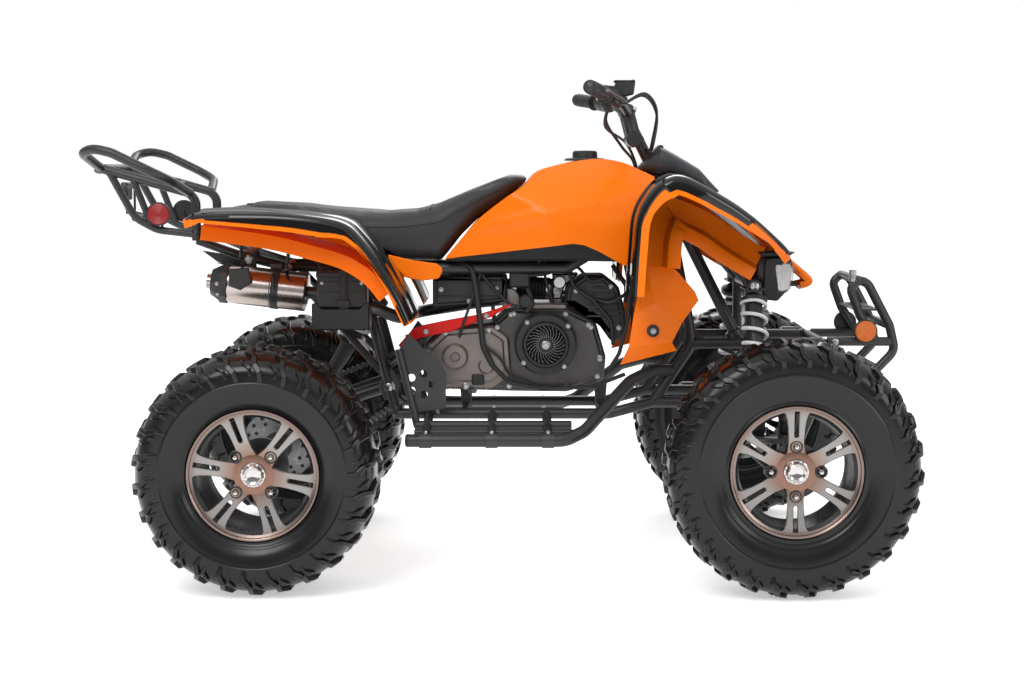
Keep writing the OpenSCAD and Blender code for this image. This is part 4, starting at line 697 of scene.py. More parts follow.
def tyre(d, width, rim_half, pitches, seed):
    """Carcass, zig-zag shoulder bars on both sides and crown bars between them."""
    half, normal, length = tyre_profile(d, width, rim_half)
    profile = np.vstack([half[::-1] * (-1, 1), half[1:]])
    carcass = turned(profile, (0, 0, 0), sides=180, loop=True)
    hub_r, w = d / 2 - 7, width / 2
    shoulder = [[w * 0.36, -20], [w * 0.62, -9], [w * 0.74, 7], [w * 0.98, 9], [w * 1.1, 24], [w * 1.34, 27]]
    thin = [[w * 0.7, -27], [w * 0.95, -15], [w * 1.04, -2], [w * 1.26, 2]]
    crown = [[-w * 0.1, 12], [w * 0.14, 3], [w * 0.22, -12], [w * 0.5, -22]]
    shapes = [carcass]
    for line, bar, height, shift in ((shoulder, 13, 8.5, 0), (thin, 9, 6.5, 0), (crown, 15, 8, 0.1)):
        made = knob(line, bar, height, half, normal, length, hub_r)
        shapes.append(copies(made, turns_about_axle(pitches, shift)))
        far = (made[0] * (1, -1, 1), [f[:, ::-1] for f in made[1]])
        shapes.append(copies(far, turns_about_axle(pitches, shift + 0.5)))
    rng = np.random.default_rng(seed)
    hairs = []
    for a, s, long in zip(rng.uniform(0, 2 * np.pi, 70), rng.uniform(0.5, 1.3, 70), rng.uniform(4, 9, 70)):
        side = 1 if rng.random() < 0.5 else -1
        y, r, ny, nr = [np.interp(s * w, length, c) for c in (*half.T, *normal.T)]
        root = np.array([r * math.sin(a), y * side, r * math.cos(a)])
        lean = np.array([nr * math.sin(a), ny * side, nr * math.cos(a)])
        hairs.append(sweep([root, root + lean * (long + 4) + (0, 0, -1)], [0.7, 0.25], 4))
    return shapes + hairs


# %% Four tyres
TYRES = {
    "rear_tyre_pair": ("rear_axle", (1, -1), 0.0, REAR_HUB_Z, 422.5, (550, 245, 103, 26), "rear_tyres"),
    "front_tyre_near": ("front_wheel_right", (-1,), WHEELBASE, FRONT_HUB_Z, 476.5, (571, 175, 72, 27),
                        "front_tyre_right"),
    "front_tyre_far": ("front_wheel_left", (1,), WHEELBASE, FRONT_HUB_Z, 476.5, (571, 175, 72, 27),
                       "front_tyre_left"),
}
for seed, (name, (body, sides, hub_x, hub_z, plane, sizes, replaced)) in enumerate(TYRES.items()):
    shapes = tyre(*sizes, seed)
    moved = [(p * (1, side, 1) + (hub_x, side * plane, hub_z), f) for side in sides for p, f in shapes]
    make(name, {tyre_rubber: moved}, body, [replaced], 40)

# %% [markdown]
# ## Bent tubes
# The frame, the rack, the bumper and the foot bars are drawn round their centre lines.
# A line of corner points is bent with quadratic curves, and a circle is carried along it
# without twist, which gives the even bends of a tube bender instead of mitred corners.
# Lugs and brackets are outlines with depth, and every joint gets its screw.
# %% Main frame and its lugs


def ring_lug(at, d, half_w, bore=0.0):
    """A short tube across the bike, centred on a point."""
    profile = [(-half_w, d * 0.42), (-half_w + 1.5, d / 2), (half_w - 1.5, d / 2), (half_w, d * 0.42)]
    if bore:
        profile = [(-half_w, bore / 2), *profile, (half_w, bore / 2)]
    return turned(profile, at, sides=28, loop=bool(bore))


def weld(a, b, d):
    """A weld bead: a slightly proud uneven ring where tube b leaves tube a, at a towards b."""
    return turned([(-4, d * 0.46), (-1, d * 0.56), (3, d * 0.53), (6, d * 0.49)], a, np.subtract(b, a), 22)


def side(points, y=0.0):
    """Side-view points given as (x, z) at one distance y from the centre plane."""
    return [(p[0], y, p[1]) for p in points]


rails = [
    pipe([(290, 120, 338), (800, 120, 338), (905, 120, 366), (1314, 120, 366)], 26),
    pipe([(290, 120, 338), (244, 120, 516), (200, 88, 686)], 26),
    pipe([(200, 88, 686), (700, 88, 686), (820, 72, 760), (933, 46, 880)], 26),
    pipe([(933, 46, 880), (1000, 120, 508), (905, 120, 366)], 26, 60),
    pipe([(1000, 120, 508), (1314, 120, 508), (1314, 120, 366)], 26, 24),
    pipe([(1136, 120, 508), (1136, 120, 650), (933, 46, 880)], 24, 50),
]
crossings = [pipe([(x, -y, z), (x, y, z)], 23) for x, y, z in (
    (640, 88, 686), (200, 88, 686), (455, 120, 338), (785, 120, 338), (1314, 120, 366),
    (1314, 120, 508), (933, 46, 880), (1136, 120, 650), (1122.5, 120, 508))]
lugs = []
LUG_PLACES = ((1024, 366), (1278, 366), (1182, 508), (1278, 508))
for x, z in LUG_PLACES:
    for shift in (-28, 28):
        outline = np.array([(120, z - 13), (120, z + 13), (150, z + 15), (162, z + 12), (168, z),
                            (162, z - 12), (150, z - 15)], float)
        lugs.append(slab(outline, x + shift - 3, x + shift + 3, 1, axis=0))
plate = np.array([[260, 372], [286, 372], [300, 404], [284, 440], [262, 446], [246, 404]], float)
beads = [weld((1136, 120, 522), (1136, 120, 560), 25), weld((1300, 120, 508), (1260, 120, 508), 26),
         weld((290, 120, 352), (286, 120, 380), 26), weld((214, 96, 640), (205, 90, 670), 26),
         weld((218, 88, 686), (260, 88, 686), 26), weld((1314, 120, 384), (1314, 120, 420), 26)]
stem_x = lambda z: 1151 - (z - 452) * 0.5095
sleeves = [turned([(-24, 14.6), (-24, 21), (-22, 23), (22, 23), (24, 21), (24, 14.6)],
                  (stem_x(z), 0, z), (-0.454, 0, 0.891), 40, loop=True) for z in (880, 508)]
gussets = both(
    slab([(905, 880), (926, 868), (915, 820), (880, 826), (870, 846)], 40, 44),
    slab([(985, 480), (1040, 508), (985, 560), (972, 520)], 118, 122),
    slab(plate, 112, 118), slab(plate, 122, 128),
)
pins = [turned([(-124, 8), (124, 8)], (273, 0, 404), sides=20)]
pins += both(bolt((273, 128, 404), LEFT, 20, 10), bolt((455, 88, 400), LEFT, 12))
shock_ears = both(
    *[slab([(1120, 636), (1152, 636), (1152, 656), (1144, 664), (1128, 664), (1120, 656)], y, y + 6)
      for y in (146, 200)],
    block((1112, 118, 640), (1160, 206, 646), 1.5),
)
rear_ears = both(slab([(226, 690), (278, 690), (268, 628), (252, 622), (238, 628)], 17, 23))
make("bent_frame", {
    frame_paint: both(*rails, *lugs, *beads) + crossings + sleeves + gussets + shock_ears + rear_ears,
    zinc: pins + both(*[bolt((x + 31, 155, z), (1.0, 0, 0), 12, 7) for x, z in LUG_PLACES],
                      bolt((1136, 206, 650), LEFT, 14, 8)),
}, "chassis", ["main_frame"], 40)

# %% Rear subframe, battery tray, screws
tail = both(
    pipe([(190, 88, 686), (20, 88, 690), (-80, 120, 718), (-178, 150, 756)], 22),
    pipe([(249, 116, 444), (30, 88, 684)], 18),
    slab([(-150, 726), (-60, 712), (-40, 700), (-60, 690), (-130, 696), (-176, 730)], 104, 108),
)
tail += [pipe([(20, -88, 690), (20, 88, 690)], 20), pipe([(-80, -120, 718), (-80, 120, 718)], 20),
         pipe([(168, -118, 684), (168, -178, 622), (168, -182, 560)], 14, 20)]
tray = [
    block((102, -251, 551), (236, -179, 555), 1.5, 2),
    slab([(102, 551), (236, 551), (236, 612), (226, 615), (214, 600), (124, 600), (112, 615), (102, 612)], -251, -247),
    slab([(102, 551), (236, 551), (236, 612), (226, 615), (214, 600), (124, 600), (112, 615), (102, 612)], -183, -179),
    block((102, -251, 551), (106, -179, 606), 1.2, 0), block((232, -251, 551), (236, -179, 606), 1.2, 0),
]
rail_screws = [bolt((x, -111 - k, z), (0, -1, 0), 13, 6) for x, k, z in ((-62, 14, 712), (30, -10, 690))]
make("tail_tubes", {frame_paint: tail, black_plastic: tray, zinc: rail_screws}, "chassis",
     ["rear_subframe"], 40)

# %% Foot bars with their clamps and end caps
bars = [
    pipe([(330, 325, 303), (690, 325, 303), (735, 303, 322), (846, 193, 424), (905, 146, 446), (950, 120, 442)],
         30, 60, 18),
    *[pipe([(x, 118, 338), (x, 325, 303)], 22) for x in (368, 520, 650)],
    pipe([(340, 215, 322), (706, 215, 322)], 24), pipe([(340, 262, 313), (716, 262, 313)], 14),
]
end_caps = [turned([(-2, 14), (0, 15.4), (4, 15.4), (8, 12), (9, 3)], (330, 325, 303), (-1, 0, 0), 24)]
clamps = [turned([(-14, 15.2), (-14, 17.6), (14, 17.6), (14, 15.2)], (x, 325, 303), AHEAD, 28, loop=True)
          for x in (368, 520, 650)]
make("side_bars", {
    frame_paint: both(*bars, *clamps),
    black_plastic: both(*end_caps),
    zinc: both(*[bolt((x, 325, 321), UP, 9, 5) for x in (368, 520, 650)]),
}, "chassis", ["foot_bars"], 40)

# %% Rear rack with its lamp bracket
rack = both(
    pipe([(-180, 150, 756), (-180, 150, 848), (-194, 150, 867), (-403, 150, 925)], 22, 60, 16),
    pipe([(-194, 150, 867), (-211, 300, 897), (-253, 330, 919), (-338, 330, 960), (-381, 322, 970),
          (-412, 296, 960), (-403, 150, 925)], 22, 60, 16),
    pipe([(-384, 150, 918), (-325, 150, 808), (-272, 150, 780), (-184, 150, 770)], 18, 70),
    pipe([(-330, 150, 906), (-284, 150, 786)], 16),
    weld((-384, 150, 918), (-325, 150, 808), 19), weld((-330, 150, 904), (-284, 150, 786), 17),
    weld((-180, 150, 772), (-180, 150, 820), 23),
    turned([(-5, 11), (0, 13.5), (9, 13.5), (13, 11)], (-403, 150, 925), (-0.96, 0, 0.27), 20),
)
rack += [pipe([(-403, -150, 925), (-403, 150, 925)], 21), pipe([(-264, -150, 886), (-264, 150, 886)], 19),
         pipe([(-325, -150, 808), (-325, 150, 808)], 17)]
bracket = [
    pipe([(-325, y, 808), (-364, y, 818)], 7, 10, 8) for y in (-36, 36)
] + [
    pipe([(-366, -46, 818), (-366, 46, 818), (-366, 46, 880), (-366, -46, 880), (-366, -46, 816)], 6, 10, 8),
    slab([(-44, 876), (44, 876), (44, 880), (-44, 880)], -369, -364, 0.8, 0),
    slab([(-30, 848), (30, 848), (34, 870), (26, 892), (-26, 892), (-34, 870)], -384, -368, 3, 0),
]
make("luggage_rack", {
    frame_paint: rack + bracket,
    red_paint: [slab([(-24, 854), (24, 854), (27, 870), (21, 886), (-21, 886), (-27, 870)], -389, -383, 1.5, 0)],
    zinc: [bolt((-369, y, 828), (-1, 0, 0), 8, 5) for y in (-30, 30)],
}, "chassis", ["rear_rack"], 40)

# %% Front bumper
bumper = both(
    pipe([(1324, 118, 512), (1476, 118, 512)], 22),
    pipe([(1324, 118, 370), (1444, 118, 446), (1486, 118, 490), (1472, 118, 550), (1418, 118, 652),
          (1396, 118, 660), (1376, 118, 640), (1400, 118, 576), (1438, 118, 516)], 22, 34, 16),
)
bumper += [pipe([(x, -118, z), (x, 118, z)], 20) for x, z in ((1472, 550), (1444, 446), (1396, 660))]
skid = [block((1390, -112, 585), (1450, 112, 590), 1.5, 2)]
louvre = [block((1402, y - 9, 583.5), (1438, y + 9, 591.5), 1.5, 2) for y in range(-80, 81, 40)]
sockets = [turned([(656, 5), (656, 9), (684, 9), (684, 5)], (1378 + 4, -118, 0), UP, 24, loop=True)]
make("bull_bar", {
    frame_paint: bumper + skid, black_plastic: louvre,
    zinc: sockets + [bolt((1382, -127, 668), (0, -1, 0), 8, 5), bolt((1341, -129, 512), (0, -1, 0), 11, 6),
                     bolt((1341, 129, 512), LEFT, 11, 6)],
}, "chassis", ["front_bumper"], 40)

# %% Front arms and the rear swing arm
arms = []
for ends, z, ball in ((((1024, 155, 366), (1278, 155, 366)), 366, (1186, 368.5, 216.5)),
                      (((1182, 155, 508), (1278, 155, 508)), 508, (1186, 368.5, 342.5))):
    tips = [np.array(e, float) for e in ends]
    ball = np.array(ball)
    for tip in tips:
        arms.append(pipe([tip, tip + (0, 34, -12), ball + (0, -16, 4)], 22, 60))
        arms.append(turned([(-24.5, 8), (-24.5, 16), (-22, 17), (22, 17), (24.5, 16), (24.5, 8)], tip, AHEAD,
                           28, loop=True))
    arms.append(turned([(-16, 11), (-13, 15), (13, 15), (16, 11)], ball, UP, 28))
    arms.append(pipe([tips[0] * 0.55 + ball * 0.45, tips[1] * 0.55 + ball * 0.45], 14))
boots = [turned([(-22, 9), (-18, 13), (-14, 10.5), (-10, 14), (-5, 12)], (1186, 368.5, z), UP, 24)
         for z in (216.5, 342.5)]
bushes = [turned([(-27, 6), (-27, 11), (27, 11), (27, 6)], (x, 155, z), AHEAD, 20, loop=True)
          for x, z in ((1024, 366), (1278, 366), (1182, 508), (1278, 508))]
damper_foot = both(slab([(278, 318), (292, 330), (306, 326), (312, 312), (308, 286), (284, 296)], 1112, 1117, 1, 0),
                   slab([(278, 318), (292, 330), (306, 326), (312, 312), (308, 286), (284, 296)], 1155, 1160, 1, 0))
make("wishbones", {frame_paint: both(*arms) + damper_foot, rubber: both(*boots), zinc: both(*bushes)},
     "chassis", ["front_arms"], 40)
swing = both(
    pipe([(273, 80, 404), (120, 64, 352), (0, 55, 256)], 32, 90, 18),
    ring_lug((273, 88, 404), 40, 18),
    slab([(100, 366), (138, 366), (134, 428), (102, 428)], 17, 23),
)
swing += [pipe([(118, -64, 366), (118, 64, 366)], 28, 45, 18),
          turned([(-74, 17.5), (-74, 33), (-70, 38), (-56, 39), (-52, 35), (52, 35), (56, 39), (70, 38), (74, 33),
                  (74, 17.5)], (0, 0, 256), sides=48, loop=True),
          slab([(-112, -20), (-112, 20), (-100, 20), (-30, 30), (-30, -30), (-100, -20)], 232, 248, 2, 2)]
make("swing_arm_tubes", {frame_paint: swing,
                         zinc: both(*[bolt((38 * math.cos(a) * 0.7, 75, 256 + 38 * math.sin(a) * 0.7), LEFT, 9, 4)
                                      for a in (0.8, 2.4, 3.9, 5.5)])},
     "chassis", ["swing_arm"], 40)

# %% [markdown]
# ## Moulded panels
# Fenders, trims and the nose are one section carried along a side curve: across the top,
# round the shoulder and down the lip, then back on the inside a wall thickness lower, so
# every panel has a real edge. The tank cover is a stack of rings, each as wide as the
# smaller of a plan width and a section width there.
# %% Panel helpers


def carried(curve, section, inner, outer, lip=None, count=70, thick=3.0, out=1):
    """A section carried along a side curve of (x, z) points. Each section row is (share of the
    way from the inner to the outer edge, extra mm, drop in mm, drop in lips); inner, outer
    and lip are (x, value) tables."""
    p = smooth_curve(curve, count)
    along = unit(np.gradient(p, axis=0))
    normal = np.stack([-along[:, 1], along[:, 0]], 1) * out
    table = lambda rows: np.interp(p[:, 0], *np.array(rows, float).T)
    y0, y1 = table(inner)[:, None], table(outer)[:, None]
    depth = table(lip)[:, None] if lip else np.zeros((count, 1))
    share, extra, drop, lips = np.array(section, float).T
    y = y0 + (y1 - y0) * share + extra
    down = drop + lips * depth
    inward = np.zeros_like(down)
    turn = np.gradient(down, axis=1)
    inward[:] = np.clip(turn / np.maximum(np.abs(turn) + np.abs(np.gradient(y, axis=1)), 1e-6), 0, 1)
    y_in = y - thick * inward
    down_in = down + thick * (1 - inward)
    ys = np.concatenate([y, y_in[:, ::-1]], 1)
    ds = np.concatenate([down, down_in[:, ::-1]], 1)
    points = np.stack([p[:, :1] - normal[:, :1] * ds, ys, p[:, 1:] - normal[:, 1:] * ds], -1)
    return grid(points, wrap_v=True, caps=True)


def rings(xs, top, low, width, squareness=2.6, count=28):
    """A body of superellipse rings: at each x the ring reaches from low to top and to half the
    width; y and z are the signed power 2 / squareness of a circle's."""
    a = np.linspace(0, 2 * np.pi, count, endpoint=False)
    table = lambda rows: np.interp(xs, *np.array(rows, float).T)
    high, deep, wide = (table(t)[:, None] for t in (top, low, width))
    power = 2 / squareness
    c, s = (np.sign(f(a)) * np.abs(f(a)) ** power for f in (np.cos, np.sin))
    z = (high + deep) / 2 + (high - deep) / 2 * s
    y = wide * c + 0 * z
    return grid(np.stack([np.broadcast_to(xs[:, None], z.shape), y, z], -1), wrap_v=True, caps=True)


SHOULDER = [(0, 0, 0, 0), (0.25, 0, -1.5, 0), (0.5, 0, -2, 0), (0.75, 0, -1.5, 0), (1, -22, 0, 0),
            (1, -10, 1.5, 0), (1, -4, 5, 0), (1, -1, 11, 0), (1, 0, 18, 0), (1, 0, 0, 0.8), (1, 0, 0, 1)]

# %% Rear fenders, their black trim and the side panels
rear_curve = [(-171, 812), (-120, 824), (17, 826), (120, 818), (190, 804), (228, 772), (283, 699), (318, 640),
              (345, 583)]
tail_plan = [(-171, 380), (-60, 428)]
rear_lip = [(-171, 4), (-120, 22), (17, 36), (150, 42), (200, 34), (240, 20), (345, 12)]
fender_skin = [
    carried(rear_curve, SHOULDER, [(-171, 137)], tail_plan, rear_lip, 90, 3.5),
    carried([(-140, 806), (17, 786), (120, 762), (200, 738), (262, 700), (302, 655)],
            [(0, 0, 0, 0), (0, 60, 4, 0), (0, 110, 12, 0), (0, 112, 30, 0), (0, 112, 44, 0)],
            [(-140, 190), (302, 260)], [(0, 400)], None, 50, 3.0),
]
side_panel = [slab(rounded([(240, 752), (262, 724), (330, 708), (388, 700), (404, 688), (394, 664), (352, 659),
                            (316, 666), (290, 690), (262, 720)], 12, 4), 136, 142, 2),
              slab(rounded([(196, 770), (250, 752), (268, 724), (250, 700), (205, 716), (160, 744)], 12, 4),
                   134, 139, 1.5)]
make("rear_fender_skins", {orange_panel: both(*fender_skin, *side_panel),
                           black_plastic: both(pipe([(60, 250, 786), (40, 210, 700), (30, 118, 686)], 9),
                                               pipe([(-60, 250, 804), (-70, 180, 730), (-80, 126, 716)], 9))},
     "chassis", ["rear_fenders"], 32)
trim_curve = [(-169, 815), (-131, 828), (17, 830), (120, 822), (193, 807), (232, 775), (287, 702), (322, 643),
              (346, 590)]
trim = [
    carried(trim_curve, [(0, 0, 0, 0), (0.3, 0, -2, 0), (0.62, 0, -3, 0), (0.66, 0, 1, 0), (0.7, 0, -2, 0),
                         (1, -28, 0, 0), (1, -12, 1.5, 0), (1, -3, 5.5, 0), (1, 1.5, 10, 0), (1, 2.5, 14, 0),
                         (1, 1.2, 16, 0), (1, 1.5, 2, 0.78)],
            [(-171, 139)], [(-171, 376), (-60, 428)], rear_lip, 90, 2.5),
    carried([(-128, 833), (-60, 836), (20, 834), (92, 824)],
            [(0, 0, 0, 0), (0.4, 0, -2, 0), (1, -9, -1, 0), (1, -2, 2, 0), (1, 0, 7, 0)],
            [(-128, 300), (92, 330)], [(-128, 392), (92, 424)], None, 40, 2.5),
]
make("rear_fender_tops", {black_panel: both(*trim)}, "chassis", ["rear_fender_trim"], 32)

# %% Front fenders, their trim, the inner liner
front_curve = [(840, 640), (846, 740), (853, 812), (874, 858), (905, 890), (948, 902), (1039, 857), (1109, 811),
               (1178, 753), (1206, 722)]
front_in = [(820, 196), (868, 196), (930, 156), (985, 96), (1216, 70)]
front_out = [(820, 394), (850, 410), (900, 428), (1000, 428), (1110, 398), (1216, 300)]
front_lip = [(838, 22), (860, 24), (905, 36), (950, 38), (1040, 34), (1110, 28), (1206, 8)]
liner_curve = [(872, 700), (878, 770), (900, 828), (940, 856), (1030, 822), (1100, 776), (1168, 736)]
liner = carried(liner_curve, [(0, 0, 0, 0), (0, 2, 22, 0), (0, 8, 44, 0), (0, 34, 50, 0), (0, 42, 54, 0),
                              (0, 46, 66, 0), (0, 48, 84, 0)],
                [(872, 214), (930, 186), (1168, 150)], [(0, 400)], None, 60, 3.0)
holes = [turned([(0, 5), (3, 5)], (x, -232, z), (0, -0.5, 1), 14) for x, z in ((968, 808), (1040, 786))]
make("front_fender_skins", {
    orange_panel: both(carried(front_curve, SHOULDER, front_in, front_out, front_lip, 100, 3.5), liner),
    black_plastic: both(carried([(p[0] + 2, p[1] - 5) for p in front_curve],
                                [(0.04, 0, 0, 0), (0.5, 0, 0, 0), (1, -8, 1, 0)], front_in, front_out, None, 60, 2)),
}, "chassis", ["front_fenders"], 32)
front_trim_curve = [(833, 640), (839, 745), (846, 818), (868, 866), (900, 899), (948, 909), (1039, 863),
                    (1109, 817), (1182, 758), (1202, 738)]
front_trim_section = [(0, 0, 0, 0), (0.2, 0, -2, 0), (0.34, 0, -3, 0), (0.37, 0, 2, 0), (0.7, 0, 2, 0),
                      (0.74, 0, -2, 0), (1, -30, 0, 0), (1, -13, 1.5, 0), (1, -4, 6, 0), (1, 1.2, 12, 0),
                      (1, 2.2, 18, 0), (1, 1.8, 2, 0.84)]
make("front_fender_tops", {black_panel: both(
    carried(front_trim_curve, front_trim_section, front_in, [(x, y - 1) for x, y in front_out], front_lip, 100,
            2.5))}, "chassis", ["front_fender_trim"], 32)

# %% Tank cover as rings over the seat's nose
tank_top = smooth_curve([(409, 713), (446, 757), (486, 804), (544, 850), (594, 884), (625, 916), (667, 931),
                         (728, 944), (784, 948), (836, 938), (880, 918), (905, 906)], 90)
tank_low = np.array([(409, 712), (544, 728), (663, 743), (710, 749), (736, 746), (771, 731), (830, 698),
                     (852, 700), (880, 790), (905, 904)], float)
xs = tank_top[:, 0]
low = np.interp(xs, *tank_low.T)
plan = np.interp(xs, [395, 470, 560, 660, 760, 860, 920], [136, 146, 162, 188, 193, 188, 152])
section_z = [600, 740, 800, 850, 884, 925, 948, 962]
section_y = [194, 193, 190, 172, 150, 104, 74, 50]
share = np.linspace(0, 1, 16)
z_side = low[:, None] + (tank_top[:, 1] - low)[:, None] * share
crease = np.interp(xs, [409, 560, 700, 850, 905], [770, 800, 834, 860, 890])[:, None]
fold = 5.0 * np.exp(-((z_side - crease) / 14) ** 2) * np.clip((xs[:, None] - 470) / 100, 0, 1)
y_side = np.minimum(plan[:, None], np.interp(z_side, section_z, section_y)) + fold - 2
across = np.linspace(1, -1, 13)[1:-1]
y_top = y_side[:, -1:] * across
z_top = tank_top[:, 1:] + 5 * (1 - across**2) - 4
ring_y = np.hstack([y_side, y_top, -y_side[:, ::-1]])
ring_z = np.hstack([z_side, z_top, z_side[:, ::-1]])
outer = np.stack([np.broadcast_to(xs[:, None], ring_y.shape), ring_y, ring_z], -1)
inner = outer * (1, 0.975, 1) - (0, 0, 3)
inner[:, 0, 2] += 3
inner[:, -1, 2] += 3
tank = grid(np.concatenate([outer, inner[:, ::-1]], 1), wrap_v=True, caps=True)
filler = [turned([(0, 50), (3, 50), (6, 46), (7, 30)], (745, 0, 944), (0, 0, 1), 40),
          turned([(4, 31), (20, 30), (24, 27), (25, 8)], (745, 0, 944), (0, 0, 1), 40)]
under_tank = [slab([(404, 702), (450, 752), (520, 776), (840, 790), (852, 716), (830, 702), (720, 704)], -104, 104, 6),
              slab([(590, 790), (600, 840), (700, 880), (850, 880), (860, 790)], -80, 80, 6)]
make("tank_shell", {orange_panel: [tank], black_plastic: filler + under_tank},
     "chassis", ["tank_cover"], 28)

# %% Shrouds folded like paper


def folded(points, facets, thick=4.0):
    """Flat facets that share corner points given as (x, y, z), with a copy moved in y."""
    p = np.asarray(points, float)
    back = p * 1.0
    back[:, 1] -= thick
    parts = []
    for facet in facets:
        front, rear = p[list(facet)], back[list(facet)]
        parts.append(grid(np.stack([rear, front]), wrap_v=True, caps=True))
    return merge(parts)


shroud_points = [(868, 202, 748), (906, 204, 722), (954, 206, 685), (996, 204, 638), (1005, 203, 617),
                 (966, 210, 565), (942, 214, 518), (955, 204, 499), (822, 196, 464), (842, 202, 507),
                 (853, 206, 584), (865, 206, 649), (900, 222, 612)]
shroud = folded(shroud_points, [(0, 1, 2, 12), (0, 12, 10, 11), (2, 3, 4, 12), (4, 5, 12), (5, 6, 10, 12),
                                (6, 7, 8, 9), (6, 9, 10)])
washer = turned([(-6, 15), (3, 14), (4.5, 10)], (898, 215, 546), LEFT, 28)
make("shroud_plates", {orange_panel: both(shroud), black_plastic: both(washer),
                       zinc: both(bolt((898, 219, 546), LEFT, 10, 6))},
     "chassis", ["front_shrouds"], 12)

# %% Instrument cowl, nose and headlights
xs = np.linspace(872, 1066, 34)
cowl = rings(xs, [(871, 925), (905, 962), (926, 980), (970, 955), (1020, 925), (1067, 873)],
             [(871, 921), (930, 908), (950, 911), (1000, 886), (1045, 862), (1067, 868)],
             [(871, 34), (890, 58), (926, 76), (960, 80), (1030, 76), (1067, 56)], 3.2, 40)
visor = [slab([(898, 957), (926, 982), (934, 979), (906, 950)], -46, 46, 1.5),
         pipe([(905, -44, 961), (896, -30, 972), (896, 30, 972), (905, 44, 961)], 6)]
dial = [turned([(0, 33), (4, 33), (6, 30), (6, 4)], (912, 0, 955), (-0.62, 0, 0.78), 36)]
make("cowl_body", {cowl_plastic: [cowl], black_plastic: visor, black_panel: dial}, "chassis",
     ["instrument_cowl"], 34)
hood_section = [(0, 0, 14, 0), (0, 0, 6, 0), (0, 3, 1.5, 0), (0, 12, 0, 0), (0.3, 0, -3, 0), (0.5, 0, -4, 0),
                (0.7, 0, -3, 0), (1, -12, 0, 0), (1, -3, 1.5, 0), (1, 0, 6, 0), (1, 0, 14, 0)]
nose = carried([(1060, 868), (1100, 838), (1150, 797), (1226, 721), (1288, 668), (1299, 652), (1290, 640),
                (1270, 634)], hood_section, [(1060, -50), (1150, -62), (1299, -54)],
               [(1060, 50), (1150, 62), (1299, 54)], None, 60, 3)
make("nose_hood", {orange_panel: [nose], black_plastic: [block((1150, -50, 640), (1262, 50, 650), 3),
     pipe([(1150, 0, 645), (1140, 0, 700), (1136, 0, 655)], 14)]}, "chassis", ["nose_panel"], 32)

glass = bpy.data.materials.new("lamp_glass")
glass.use_nodes = True
tree = glass.node_tree
shader = tree.nodes["Principled BSDF"]
ripple = node(tree, "TexWave", {"Vector": node(tree, "TexCoord").outputs["Object"], "Scale": 38.0})
tint = node(tree, "Mix", {0: ripple.outputs[1], 6: (0.97, 0.98, 1, 1), 7: (0.9, 0.92, 0.95, 1)}, data_type="RGBA")
lens_bump = node(tree, "Bump", {"Strength": 0.06, "Distance": 0.001, "Height": ripple.outputs[1]})
tree.links.new(tint.outputs[2], shader.inputs["Base Color"])
tree.links.new(lens_bump.outputs[0], shader.inputs["Normal"])
for key, value in {"Roughness": 0.03, "Transmission Weight": 0.94, "IOR": 1.35, "Alpha": 0.45}.items():
    shader.inputs[key].default_value = value
housing = rounded([(1162, 700), (1168, 716), (1222, 718), (1231, 700), (1221, 640), (1196, 612), (1160, 616),
                   (1162, 700)], 8, 4)[:-1]
lens = rounded([(1183, 690), (1186, 705), (1224, 705), (1236, 690), (1226, 640), (1214, 631), (1191, 631),
                (1183, 690)], 10, 5)[:-1]
bowl = turned([(0, 34), (-6, 32), (-18, 22), (-24, 10), (-25, 3), (-22, 3), (-14, 22), (0, 33)],
              (1224, 117, 668), AHEAD, 40)
bulb = turned([(-20, 5), (-6, 6), (-2, 4), (-1, 1)], (1224, 117, 668), AHEAD, 20)
side_bowl = slab(inset(lens, 5), 150, 168.5, 2)
make("headlamp_units", {
    black_plastic: both(slab(housing, 66, 166, 4),
                        slab([(1160, 716), (1222, 718), (1238, 728), (1150, 728)], 70, 160, 2)),
    chrome: both(bowl, side_bowl, bulb),
    glass: both(slab(lens, 72, 172, 5)),
}, "chassis", ["headlight_housings", "headlight_lenses"], 34)

# %% [markdown]
# ## The saddle
# Foam under vinyl is never flat. The saddle starts as rings slightly smaller than its
# space; a short cloth simulation with air pressure then swells it, and each point may only
# move a few millimetres, so it keeps its place between the panels. Seams come afterwards,
# laid on the swollen surface.
# %% Saddle form and swelling
seat_vinyl = finish("seat_vinyl", (0.024, 0.024, 0.026), 0.5, tone=0.25, spread=0.14, patches=7.0, grain=520.0,
                    bump=0.5, depth=0.0006, Specular_IOR_Level=0.4)
seat_top = [(-80, 812), (-72, 832), (-50, 842), (48, 837), (146, 827), (268, 819), (342, 824), (391, 837),
            (464, 868), (538, 897), (577, 910), (604, 906)]
seat_low = [(-80, 790), (-60, 776), (190, 764), (214, 706), (394, 703), (410, 722), (441, 762), (482, 809),
            (591, 890), (604, 902)]
seat_wide = [(-80, 92), (-66, 118), (-30, 128), (250, 129), (342, 122), (420, 112), (480, 98), (538, 80), (604, 50)]
xs = np.interp(np.linspace(0, 1, 90), np.linspace(0, 1, 5), [-80, -60, 200, 400, 604])
seat = make("saddle", {seat_vinyl: [rings(xs, seat_top, seat_low, seat_wide, 4.0, 56)]}, "chassis", ["seat"],
            60)


